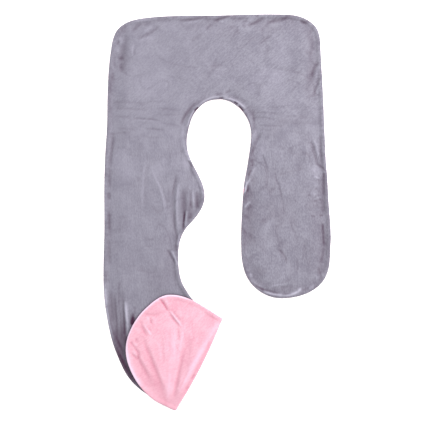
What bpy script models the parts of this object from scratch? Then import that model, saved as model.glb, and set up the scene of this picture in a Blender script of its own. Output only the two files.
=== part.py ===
"""Empty cover of a U-shaped body pillow, lying flat with the foot of its long leg folded over.

The cover is two panels of velour cut to one outline, a grey one above and a pink one below, sewn together
all round. The outline is drawn as the flat cut, seen from above, and every point of the cut is then carried
over the crease, so both panels fold as one. Where the foot is turned over, the pink panel is on top.

Lengths are metres. +X is to the right, +Y to the head end and +Z up. The origin is on the floor, under the
middle of the laid cover.
"""

import math
from collections import namedtuple

import bpy
import numpy as np
from mathutils.geometry import delaunay_2d_cdt

MM = 0.001

# Cloth and seam
CLOTH = 2.0 * MM  # velour with its pile
PANEL_GAP = 0.3 * MM  # between the two panels
TURNING = 1.2 * MM  # what the turned-in seam allowance adds to a panel
TURNING_WIDTH = 9.0 * MM
TURNING_FADE = 6.0 * MM  # over which the allowance thins out again
EDGE_ROUND = 4.0 * MM  # how far in from the seam a panel reaches its full thickness

# Loft: the upper panel doesn't lie quite flat on the lower one
LEG_LOFT = 6.0 * MM
PRESSED_LOFT = 2.6 * MM  # under the turned-over foot
FLAP_LOFT = 4.0 * MM
LOFT_START = 12.0 * MM  # from the seam
LOFT_WIDTH = 52.0 * MM

# Fold
CREASE_LOW = np.array([-133.5, -607.0]) * MM
CREASE_HIGH = np.array([10.8, -323.0]) * MM
CREASE_BOW = 5.0 * MM  # how far the crease bows out at its middle
LOOP_AT_ENDS = 4.5 * MM  # radius of the fold at the two seams
LOOP_AT_MIDDLE = 8.0 * MM
FLAP_SETTLES = 80.0 * MM  # over which the flap comes down from the loop
FOOT_ENDS = 1.25  # where the foot ends along the crease line, in crease lengths: past it lies the right leg
FLAP_DEPTH = 226.0 * MM  # from the crease to the top of the turned foot's round end
FLAP_PRESSES = 1.02  # how far the flap keeps the leg pressed, and where the leg is free of it, in flap sizes
FLAP_CLEAR = 1.16

# Mesh
RIM_STEPS = np.array([1.3, 4.5, 12.0, 21.0]) * MM  # rings of points inside the seam
CLOTH_STEP = 30.0 * MM  # between the points in plain cloth
FOLD_STEP = 13.0 * MM  # between the points along a fold
FOLD_FEET = 1.3  # how far to each side of a fold's line its flanks have points, in widths
CLOSEST = 7.0 * MM  # no two points of folds are nearer than this
PLAIN_CLOSEST = 18.0 * MM  # nor is a point in plain cloth nearer than this to any other
LOOP_ROWS = 7  # of points round the loop of the crease
LOOP_ROW_STEP = 19.0 * MM  # between the points of such a row
ON_SEAM = 0.01 * MM
INSIDE_RING = 1  # the triangulation keeps what its closed ring holds
ROUND_EDGES = math.radians(50)  # edges that turn less than this are shaded smooth

# A row for each place across the cover, from the end of the right leg round to the turned-over foot: a point
# and the way the edge runs there, on the outer and on the inner edge of the U, in millimetres and degrees,
# and the number of mesh rows up to the next place.
Place = namedtuple("Place", "name outer_x outer_y outer_way inner_x inner_y inner_way rows")
PLACES = (
    Place("right leg, above its round end", 349, -120, 89, 75, -122, 92, 3),
    Place("right leg, widest", 351, -75, 91, 74, -75, 89, 6),
    Place("right leg, half way", 342, 70, 92, 81, 64, 86, 4),
    Place("right leg, neck", 334, 190, 92, 96, 160, 82, 3),
    Place("head hollow, right", 330, 290, 92, 105, 241, 91, 5),
    Place("head end, right corner begins", 319.5, 500, 93, 89, 296, 121, 3),
    Place("head end, right corner", 300.5, 576, 133, 61, 328, 147, 3),
    Place("head end, right corner ends", 222, 609, 177, 38, 342, 161, 5),
    Place("head end, middle", 0, 607, 181, 8, 348.5, 184, 5),
    Place("head end, left corner begins", -222, 599, 187, -38, 337, 213, 3),
    Place("head end, left corner", -301, 569, 225, -69, 306, 236, 3),
    Place("head end, left corner ends", -328, 490, 262, -85, 267, 255, 5),
    Place("head hollow, left", -338.5, 280, 269, -93, 213, 271, 4),
    Place("left leg, above the bump", -345, 165, 268, -68, 136, 298, 5),
    Place("left leg, bump", -347.5, 60, 270, -38, 50, 270, 5),
    Place("left leg, below the bump", -347, -40, 270, -87, -39, 226, 4),
    Place("left leg, knee hollow", -350, -190, 270, -119.5, -135, 270, 5),
    Place("left leg, shin", -342, -305, 279, -111, -207, 286, 5),
    Place("left leg, ankle", -309, -436, 292.5, -87, -252, 302, 3),
    Place("left leg, heel", -275.5, -504.5, 304, -53, -288, 323, 5),
    Place("crease", -133.5, -607, 331, 10.8, -323, 337, 6),
    Place("crease, past the loop's narrow ends", -121, -614, 331, 23.8, -328.5, 337.5, 3),
    Place("turned foot, past the loop", -102, -624.5, 333, 43, -336.5, 338, 3),
    Place("turned foot, round end begins", -57.7, -645.5, 343, 93, -356, 337, 0),
)

# The round ends: points on their edge between the two edges of the U, and the mesh rows for each span.
Knot = namedtuple("Knot", "x y way")
FOOT_END = (Knot(90, -646, 14), Knot(166, -599, 55), Knot(196, -505, 90), Knot(175, -417, 127))
FOOT_END_ROWS = 5
LEG_END = (Knot(114, -229, 316), Knot(200, -264.5, 1), Knot(322, -218, 48))
LEG_END_ROWS = 4

# Main folds, as seen from above: soft ridges (height above 0) and troughs (below 0), in millimetres. Each
# runs from (x, y) to (to_x, to_y), bows to its left by bow, and is about twice as wide as its width.
Fold = namedtuple("Fold", "x y to_x to_y bow width height")
FRONT_FOLDS = (
    # head end
    Fold(-248, 533, -178, 575, -5, 9, -2.5),
    Fold(-276, 548, -296, 430, -5, 11, -3.0),
    Fold(90, 575, 146, 601, -3, 8, -2.0),
    Fold(315, 466, 285, 408, -5, 9, -3.0),
    Fold(319, 422, 295, 362, -1, 9, -2.5),
    # bump
    Fold(-127, 118, -124, -120, -11, 9, -4.0),
    Fold(-117, 90, -121, -78, -5, 8, 3.0),
    Fold(-104, 64, -111, -52, 4, 8, -4.0),
    Fold(-65, 60, -64, 4, 2, 9, -3.5),
    Fold(-200, 128, -158, -6, 8, 9, 2.0),
    Fold(-154, -112, -125, -160, 0, 9, -3.0),
    # gathers beside the turned-over foot
    Fold(-286, -262, -277, -368, 0, 9, 4.0),
    Fold(-295, -244, -289, -380, 0, 9, -3.5),
    Fold(-270, -300, -280, -352, 0, 10, -3.5),
    # right leg
    Fold(132, 244, 104, 168, -4, 9, -3.0),
    Fold(286, 230, 325, 126, -3, 9, -3.0),
    Fold(326, -32, 330, -108, -2, 9, -2.5),
)
FLAP_FOLDS = (
    Fold(-174, -266, -112, -350, -3, 9, -3.0),
    Fold(-146, -330, -146, -520, 0, 16, 2.5),
    Fold(-226, -384, -166, -560, 1, 10, -3.5),
    Fold(-264, -432, -204, -534, 6, 9, -2.0),
    Fold(-110, -428, -134, -572, 0, 9, -3.0),
    Fold(-87, -378, -110, -506, 7, 10, -2.0),
    Fold(-36, -404, -124, -570, 0, 12, 2.5),
    Fold(-234, -342, -212, -378, 0, 9, -2.0),
)


CREASE_LENGTH = np.linalg.norm(CREASE_HIGH - CREASE_LOW)
CREASE_ALONG = (CREASE_HIGH - CREASE_LOW) / CREASE_LENGTH
CREASE_ACROSS = np.array([CREASE_ALONG[1], -CREASE_ALONG[0]])  # towards the foot

# The flat cut's mesh: its points, its triangles, and how far in from the seam each point lies
Cut = namedtuple("Cut", "points triangles depth")


def smooth_step(value):
    """0 below 0, 1 above 1, and an S-curve between."""
    held = np.clip(value, 0.0, 1.0)
    return held * held * (3.0 - 2.0 * held)


def smooth_edge(knots, rows):
    """Points of an edge through the knots, rows of them for each span but the last knot.

    Each span is a cubic curve whose handles reach as far as they would on a circular arc that turns as much.
    """
    points = []
    for start, end, count in zip(knots, knots[1:], rows):
        first, last = (np.array([knot.x, knot.y]) * MM for knot in (start, end))
        ways = [math.radians(knot.way) for knot in (start, end)]
        turn = math.remainder(ways[1] - ways[0], 2 * math.pi)
        reach = np.linalg.norm(last - first) * 2 / (3 * (1 + math.cos(turn / 2)))
        leave, arrive = (reach * np.array([math.cos(way), math.sin(way)]) for way in ways)
        along = (np.arange(count) / count)[:, None]
        back = 1 - along
        points.append(
            back**3 * first
            + 3 * back**2 * along * (first + leave)
            + 3 * back * along**2 * (last - arrive)
            + along**3 * last
        )
    return np.concatenate([*points, [np.array([knots[-1].x, knots[-1].y]) * MM]])


def turned(knot):
    """The same knot, passed the other way."""
    return Knot(knot.x, knot.y, knot.way + 180)


def cut_outline():
    """The seam line of the flat cut, counterclockwise, starting at the outer edge of the right leg."""
    outer_knots = [Knot(p.outer_x, p.outer_y, p.outer_way) for p in PLACES]
    inner_knots = [Knot(p.inner_x, p.inner_y, p.inner_way) for p in PLACES]
    rows = [p.rows for p in PLACES[:-1]]
    foot_knots = [outer_knots[-1], *FOOT_END, turned(inner_knots[-1])]
    leg_knots = [turned(inner_knots[0]), *LEG_END, outer_knots[0]]
    outer, inner = smooth_edge(outer_knots, rows), smooth_edge(inner_knots, rows)
    foot = smooth_edge(foot_knots, [FOOT_END_ROWS] * (len(FOOT_END) + 1))
    leg = smooth_edge(leg_knots, [LEG_END_ROWS] * (len(LEG_END) + 1))
    return np.concatenate([outer, foot[1:-1], inner[::-1], leg[1:-1]])


def depth_inside(points, outline):
    """How far each point lies from the outline."""
    step = np.roll(outline, -1, axis=0) - outline
    offset = points[:, None, :] - outline[None, :, :]
    share = np.clip((offset * step).sum(axis=2) / (step * step).sum(axis=1), 0.0, 1.0)
    return np.linalg.norm(offset - share[..., None] * step, axis=2).min(axis=1)


def is_inside(points, outline):
    """Whether each point lies within the outline: a level line from it crosses it an odd number of times."""
    start, end = outline, np.roll(outline, -1, axis=0)
    x, y = points[:, :1], points[:, 1:]
    spans = (start[:, 1] > y) != (end[:, 1] > y)
    rise = np.where(start[:, 1] == end[:, 1], 1.0, end[:, 1] - start[:, 1])
    crossing = start[:, 0] + (y - start[:, 1]) / rise * (end[:, 0] - start[:, 0])
    return (spans & (crossing > x)).sum(axis=1) % 2 == 1


def rim_rings(outline):
    """Rings of points that follow the seam line, further and further in."""
    along = np.roll(outline, -1, axis=0) - np.roll(outline, 1, axis=0)
    along /= np.linalg.norm(along, axis=1)[:, None]
    inward = np.stack([-along[:, 1], along[:, 0]], axis=1)
    return np.concatenate([outline + step * inward for step in RIM_STEPS])


def loop_rows():
    """Rows of points along the crease, round its loop, on the flat cut."""
    along = np.arange(LOOP_ROW_STEP, CREASE_LENGTH, LOOP_ROW_STEP)
    bow, radius = crease_shape(along)
    rows = []
    for angle in np.linspace(0.0, math.pi, LOOP_ROWS):
        across = bow + radius * angle
        rows.append(CREASE_LOW + along[:, None] * CREASE_ALONG + across[:, None] * CREASE_ACROSS)
    return rows


def unfolded(laid):
    """Where points laid flat on the turned foot lie on the flat cut."""
    offset = laid - CREASE_LOW
    along, across = offset @ CREASE_ALONG, offset @ CREASE_ACROSS
    bow, radius = crease_shape(along)
    on_cut = 2 * bow + radius * math.pi - across  # the flap's cloth is mirrored by the loop
    return CREASE_LOW + along[:, None] * CREASE_ALONG + on_cut[:, None] * CREASE_ACROSS


def fold_points(fold):
    """Points along a fold's line and along both its flanks, as it lies."""
    start = np.array([fold.x, fold.y]) * MM
    run = np.array([fold.to_x, fold.to_y]) * MM - start
    length = np.linalg.norm(run)
    share = np.linspace(0.0, 1.0, max(3, round(length / FOLD_STEP)))[:, None]
    side = np.array([-run[1], run[0]]) / length
    line = start + share * run + 4 * fold.bow * MM * share * (1 - share) * side
    foot = FOLD_FEET * fold.width * MM * side
    return np.concatenate([line, line + foot, line - foot])


def spread(kept, more, apart):
    """The kept points, and each of more that isn't nearer than apart to one before it."""
    for point in more:
        if np.linalg.norm(kept - point, axis=1).min() >= apart:
            kept = np.concatenate([kept, [point]])
    return kept


def plain_points(outline):
    """Staggered rows of points over the cloth."""
    low, high = outline.min(axis=0), outline.max(axis=0)
    rise = CLOTH_STEP * math.sqrt(3) / 2
    x, y = np.meshgrid(np.arange(low[0], high[0], CLOTH_STEP), np.arange(low[1], high[1], rise))
    x[1::2] += CLOTH_STEP / 2
    return np.stack([x.ravel(), y.ravel()], axis=1)


def mesh_cut():
    """The flat cut's mesh, with more points along its folds and round the loop of its crease."""
    outline = cut_outline()

    def clear_of_rim(candidates):
        clear = depth_inside(candidates, outline) > RIM_STEPS[-1] + CLOSEST
        return candidates[clear & is_inside(candidates, outline)]

    points = np.concatenate([outline, rim_rings(outline)])
    edges = []
    for row in loop_rows():
        row = clear_of_rim(row)
        first = len(points)
        edges += [(first + step, first + step + 1) for step in range(len(row) - 1)]
        points = np.concatenate([points, row])
    for fold in FRONT_FOLDS:
        points = spread(points, clear_of_rim(fold_points(fold)), CLOSEST)
    for fold in FLAP_FOLDS:
        points = spread(points, clear_of_rim(unfolded(fold_points(fold))), CLOSEST)
    points = spread(points, clear_of_rim(plain_points(outline)), PLAIN_CLOSEST)
    ring = [list(range(len(outline)))]
    meshed, _, triangles, *_ = delaunay_2d_cdt(points.tolist(), edges, ring, INSIDE_RING, ON_SEAM)
    meshed = np.array([list(point) for point in meshed])
    return Cut(meshed, np.array(triangles), depth_inside(meshed, outline))


def relief(laid, folds):
    """Height that the folds add at each laid point: each has rounded flanks and dies away at both ends."""
    height = np.zeros(len(laid))
    for fold in folds:
        start = np.array([fold.x, fold.y]) * MM
        run = np.array([fold.to_x, fold.to_y]) * MM - start
        length = np.linalg.norm(run)
        along = ((laid - start) @ run) / length**2
        held = np.clip(along, 0.0, 1.0)
        side = (run[0] * (laid[:, 1] - start[1]) - run[1] * (laid[:, 0] - start[0])) / length
        side -= 4 * fold.bow * MM * held * (1 - held)
        past = (along - held) * length
        fade = 1 - (2 * held - 1) ** 4
        height += fold.height * MM * fade * np.exp(-(side**2 + past**2) / (fold.width * MM) ** 2)
    return height


def crease_shape(along):
    """How far the crease bows out, and the radius of its loop, at distances along it."""
    middle = np.maximum(1 - (2 * along / CREASE_LENGTH - 1) ** 2, 0.0)
    return CREASE_BOW * middle, LOOP_AT_ENDS + (LOOP_AT_MIDDLE - LOOP_AT_ENDS) * middle


class Lie:
    """How the flat cut lies: where each point of it goes, and which way is out of the cloth there."""

    def __init__(self, cut):
        offset = cut - CREASE_LOW
        self.along = offset @ CREASE_ALONG
        bow, radius = crease_shape(self.along)
        past = offset @ CREASE_ACROSS - bow
        foot = self.along < CREASE_LENGTH * FOOT_ENDS
        angle = np.where(foot, np.clip(past / radius, 0.0, math.pi), 0.0)
        flat = past - radius * math.pi  # beyond the loop
        settle = smooth_step(flat / FLAP_SETTLES)
        drop = 2 * (radius - LOOP_AT_ENDS)
        folded = np.where(flat > 0, -flat, radius * np.sin(angle))
        self.across = np.where(foot & (past > 0), folded, past) + bow
        self.rise = radius * (1 - np.cos(angle)) - np.where(foot, drop * settle, 0.0)
        self.on_flap = smooth_step(angle / math.pi * 2 - 1)
        self.on_leg = smooth_step(1 - angle / math.pi * 2)
        share = np.clip(flat / FLAP_SETTLES, 0.0, 1.0)
        slope = np.where(foot, drop / FLAP_SETTLES * 6 * share * (1 - share), 0.0)
        tilt = angle + np.arctan(slope)
        self.out_across, self.out_up = -np.sin(tilt), np.cos(tilt)

    def plan(self):
        """Where each point lies, seen from above."""
        return CREASE_LOW + self.along[:, None] * CREASE_ALONG + self.across[:, None] * CREASE_ACROSS

    def placed(self, base, out):
        """Points that start at height base, are lifted by the fold, then move out of the cloth by out."""
        plan = self.plan() + (self.out_across * out)[:, None] * CREASE_ACROSS
        height = base + self.rise + self.out_up * out
        return np.concatenate([plan, height[:, None]], axis=1)


def under_flap(plan):
    """1 where the laid point is under the turned foot, taken as a rounded square, and 0 well clear of it."""
    offset = plan - CREASE_LOW
    along = (offset @ CREASE_ALONG) / CREASE_LENGTH * 2 - 1
    deep = np.maximum(-(offset @ CREASE_ACROSS) / FLAP_DEPTH, 0.0)
    reach = (along**4 + deep**4) ** 0.25
    return smooth_step((FLAP_CLEAR - reach) / (FLAP_CLEAR - FLAP_PRESSES))


def front_loft(cut, lie):
    """How far the front panel stands off the back one: its loft and its folds, up to the crease."""
    plan = lie.plan()
    covered = under_flap(plan)
    lofted = smooth_step((cut.depth - LOFT_START) / LOFT_WIDTH)
    settled = smooth_step((cut.depth - EDGE_ROUND) / LOFT_START)
    height = lofted * (LEG_LOFT + (PRESSED_LOFT - LEG_LOFT) * covered)
    height += settled * (1 - covered) * relief(plan, FRONT_FOLDS)
    return lie.on_leg * np.maximum(height, 0.0)


def flap_loft(cut, lie):
    """How far the back panel stands off the front one where it is on top, on the turned foot."""
    lofted = smooth_step((cut.depth - LOFT_START) / LOFT_WIDTH)
    settled = smooth_step((cut.depth - EDGE_ROUND) / LOFT_START)
    height = lofted * FLAP_LOFT + settled * relief(lie.plan(), FLAP_FOLDS)
    return lie.on_flap * np.maximum(height, 0.0)


def turning_at(depth):
    """What the turned-in seam allowance adds to a panel's thickness."""
    return TURNING * (1 - smooth_step((depth - TURNING_WIDTH) / TURNING_FADE))


def outer_offset(inner, depth):
    """Where a panel's outer face is, given its inner one: it rounds to the seam along a quarter ellipse."""
    near = 1 - np.clip(depth / EDGE_ROUND, 0.0, 1.0)
    return inner + (CLOTH + turning_at(depth)) * np.sqrt(1 - near**2)


def closed_panel(name, cut, inner, outer, upward, material):
    """A panel as one closed body: the cut's triangles on both its faces, which share the seam's points."""
    inside = np.flatnonzero(cut.depth >= ON_SEAM)
    inner_number = np.arange(len(outer))
    inner_number[inside] = len(outer) + np.arange(len(inside))
    outer_faces, inner_faces = cut.triangles, inner_number[cut.triangles]
    if upward:
        inner_faces = inner_faces[:, ::-1]
    else:
        outer_faces = outer_faces[:, ::-1]
    vertices = np.concatenate([outer, inner[inside]])
    mesh = bpy.data.meshes.new(name)
    mesh.from_pydata(vertices.tolist(), [], np.concatenate([outer_faces, inner_faces]).tolist())
    mesh.shade_smooth()
    mesh.set_sharp_from_angle(angle=ROUND_EDGES)
    mesh.materials.append(material)
    bpy.context.scene.collection.objects.link(bpy.data.objects.new(name, mesh))


def velour(name, colour):
    """Short-pile velour: matt, with no metal in it."""
    material = bpy.data.materials.new(name)
    material.use_nodes = True
    shader = material.node_tree.nodes["Principled BSDF"]
    shader.inputs["Base Color"].default_value = (*colour, 1.0)
    shader.inputs["Roughness"].default_value = 0.9
    shader.inputs["Metallic"].default_value = 0.0
    return material


def build_cover():
    """Both panels of the cover, folded as one. The back panel's underside lies on the floor."""
    cut = mesh_cut()
    lie = Lie(cut.points)
    front_inner = PANEL_GAP / 2 + front_loft(cut, lie)
    back_inner = PANEL_GAP / 2 + flap_loft(cut, lie)
    base = PANEL_GAP / 2 + CLOTH + turning_at(cut.depth) * (1 + lie.out_up) / 2
    front = lie.placed(base, front_inner), lie.placed(base, outer_offset(front_inner, cut.depth))
    back = lie.placed(base, -back_inner), lie.placed(base, -outer_offset(back_inner, cut.depth))
    resting = (lie.on_leg == 1) & (cut.depth >= EDGE_ROUND)
    back[1][resting, 2] = 0.0
    closed_panel("front_panel", cut, *front, True, velour("grey velour", (0.36, 0.34, 0.42)))
    closed_panel("back_panel", cut, *back, False, velour("pink velour", (0.90, 0.50, 0.60)))


for old in list(bpy.data.objects):
    bpy.data.objects.remove(old)
build_cover()
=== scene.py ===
"""Empty velour cover of a U-shaped body pillow, lying flat with the foot of its long leg folded over.

The cover is two panels of short-pile velour cut to one outline, grey above and pink below, sewn together all
round with the seam allowance turned in. The flat cut is a grid: a row starts at each point of the seam and
runs to the middle of the cloth. Every point of it is then carried over the crease, so both panels fold as
one, and where the foot is turned over the pink panel is on top.

Lengths are metres. +X is to the right, +Y to the head end and +Z up, and the floor is at 0.
"""

import logging
import math
from dataclasses import dataclass, field
from enum import Enum
from typing import Any, NamedTuple, Sequence

import bpy
import numpy as np
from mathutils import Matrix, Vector


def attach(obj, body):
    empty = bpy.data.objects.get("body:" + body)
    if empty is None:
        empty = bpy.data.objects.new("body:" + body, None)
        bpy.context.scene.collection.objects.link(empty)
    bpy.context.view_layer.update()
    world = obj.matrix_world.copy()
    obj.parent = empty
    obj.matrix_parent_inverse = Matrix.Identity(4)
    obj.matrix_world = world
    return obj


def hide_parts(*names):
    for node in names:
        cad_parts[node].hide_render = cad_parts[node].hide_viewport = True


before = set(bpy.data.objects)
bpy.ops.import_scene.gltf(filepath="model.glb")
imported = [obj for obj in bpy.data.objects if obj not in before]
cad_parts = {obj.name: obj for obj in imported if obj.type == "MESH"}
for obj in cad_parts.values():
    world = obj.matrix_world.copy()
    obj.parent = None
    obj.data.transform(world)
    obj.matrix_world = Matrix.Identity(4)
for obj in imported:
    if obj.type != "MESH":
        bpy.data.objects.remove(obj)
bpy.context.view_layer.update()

log = logging.getLogger("cover")

MM = 0.001


class Side(Enum):
    """Which way a panel's pile faces on the legs: up, or down to the floor."""

    FRONT = 1
    BACK = -1


# ---------------------------------------------------------------------------------------------------------
# The flat cut
# ---------------------------------------------------------------------------------------------------------


class Place(NamedTuple):
    """A place across the cover: a point and the way the edge runs there, on the outer and the inner edge of
    the U, in millimetres and degrees, and the step between mesh rows up to the next place."""

    name: str
    outer_x: float
    outer_y: float
    outer_way: float
    inner_x: float
    inner_y: float
    inner_way: float
    step: float


class Knot(NamedTuple):
    """A point of an edge and the way the edge runs there, in millimetres and degrees."""

    x: float
    y: float
    way: float


# From the end of the right leg round the head end to the turned-over foot
PLACES = (
    Place("right leg, above its round end", 349, -120, 89, 75, -122, 92, 3.3),
    Place("right leg, widest", 351, -75, 91, 74, -75, 89, 3.3),
    Place("right leg, half way", 342, 70, 92, 81, 64, 86, 3.3),
    Place("right leg, neck", 334, 190, 92, 96, 160, 82, 3.3),
    Place("head hollow, right", 330, 290, 92, 105, 241, 91, 3.3),
    Place("head end, right corner begins", 319.5, 500, 93, 89, 296, 121, 3.3),
    Place("head end, right corner", 300.5, 576, 133, 61, 328, 147, 3.3),
    Place("head end, right corner ends", 222, 609, 177, 38, 342, 161, 3.3),
    Place("head end, middle", 0, 607, 181, 8, 348.5, 184, 3.3),
    Place("head end, left corner begins", -222, 599, 187, -38, 337, 213, 3.3),
    Place("head end, left corner", -301, 569, 225, -69, 306, 236, 3.3),
    Place("head end, left corner ends", -328, 490, 262, -85, 267, 255, 3.3),
    Place("head hollow, left", -338.5, 280, 269, -93, 213, 271, 3.3),
    Place("left leg, above the bump", -345, 165, 268, -68, 136, 298, 3.3),
    Place("left leg, bump", -347.5, 60, 270, -38, 50, 270, 3.3),
    Place("left leg, below the bump", -347, -40, 270, -87, -39, 226, 3.3),
    Place("left leg, knee hollow", -350, -190, 270, -119.5, -135, 270, 3.3),
    Place("left leg, shin", -342, -305, 279, -111, -207, 286, 3.3),
    Place("left leg, ankle", -309, -436, 292.5, -87, -252, 302, 3.6),
    Place("left leg, heel", -275.5, -504.5, 304, -53, -288, 323, 3.0),
    Place("crease", -133.5, -607, 331, 10.8, -323, 337, 1.2),
    Place("crease, past the loop's narrow ends", -121, -614, 331, 23.8, -328.5, 337.5, 1.4),
    Place("turned foot, past the loop", -102, -624.5, 333, 43, -336.5, 338, 3.6),
    Place("turned foot, round end begins", -57.7, -645.5, 343, 93, -356, 337, 3.6),
)
# The round ends' edges, between the outer and the inner edge of the U
FOOT_END = (Knot(90.5, -648.5, 14), Knot(166, -599, 55), Knot(196, -505, 90), Knot(175, -417, 127))
LEG_END = (Knot(114, -229, 316), Knot(200, -264.5, 1), Knot(322, -218, 48))
END_STEP = 3.6  # millimetres between mesh rows round them


def smooth_step(value: np.ndarray) -> np.ndarray:
    """0 below 0, 1 above 1, and the S-curve 3t² − 2t³ between."""
    held = np.clip(value, 0.0, 1.0)
    return held * held * (3.0 - 2.0 * held)


def smooth_edge(knots: Sequence[Knot], rows: Sequence[int]) -> np.ndarray:
    """Draws an edge through its knots.

    Each span is a cubic curve whose handles reach as far as they would on a circular arc that turns as much:
    two thirds of the chord over one plus the cosine of half the turn.

    Args:
        knots: the points and ways that the edge passes.
        rows: how many points each span has, without its last one.

    Returns:
        The edge's points, one more than the rows.
    """
    points = []
    for start, end, count in zip(knots, knots[1:], rows):
        first, last = (np.array([knot.x, knot.y]) * MM for knot in (start, end))
        ways = [math.radians(knot.way) for knot in (start, end)]
        turn = math.remainder(ways[1] - ways[0], 2 * math.pi)
        reach = np.linalg.norm(last - first) * 2 / (3 * (1 + math.cos(turn / 2)))
        leave, arrive = (reach * np.array([math.cos(way), math.sin(way)]) for way in ways)
        along = (np.arange(count) / count)[:, None]
        back = 1 - along
        points.append(
            back**3 * first
            + 3 * back**2 * along * (first + leave)
            + 3 * back * along**2 * (last - arrive)
            + along**3 * last
        )
    return np.concatenate([*points, [np.array([knots[-1].x, knots[-1].y]) * MM]])


def turned(knot: Knot) -> Knot:
    """The same knot, passed the other way."""
    return Knot(knot.x, knot.y, knot.way + 180)


def knot_rows(knots: Sequence[Knot], step: float) -> list[int]:
    """How many mesh rows each span between knots takes at a step in millimetres."""
    return [max(1, round(math.hypot(b.x - a.x, b.y - a.y) / step)) for a, b in zip(knots, knots[1:])]


def distance_to_line(points: np.ndarray, line: np.ndarray, closed: bool) -> np.ndarray:
    """How far points are from a line of straight pieces.

    Args:
        points: the points, one row each.
        line: the line's corners in order.
        closed: whether it goes back from its last corner to its first.

    Returns:
        The shortest distance for each point.
    """
    step = np.roll(line, -1, axis=0) - line
    if not closed:
        line, step = line[:-1], step[:-1]
    offset = points[:, None] - line[None]
    share = np.clip((offset * step).sum(axis=2) / (step * step).sum(axis=1), 0.0, 1.0)
    return np.linalg.norm(offset - share[..., None] * step, axis=2).min(axis=1)


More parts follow.
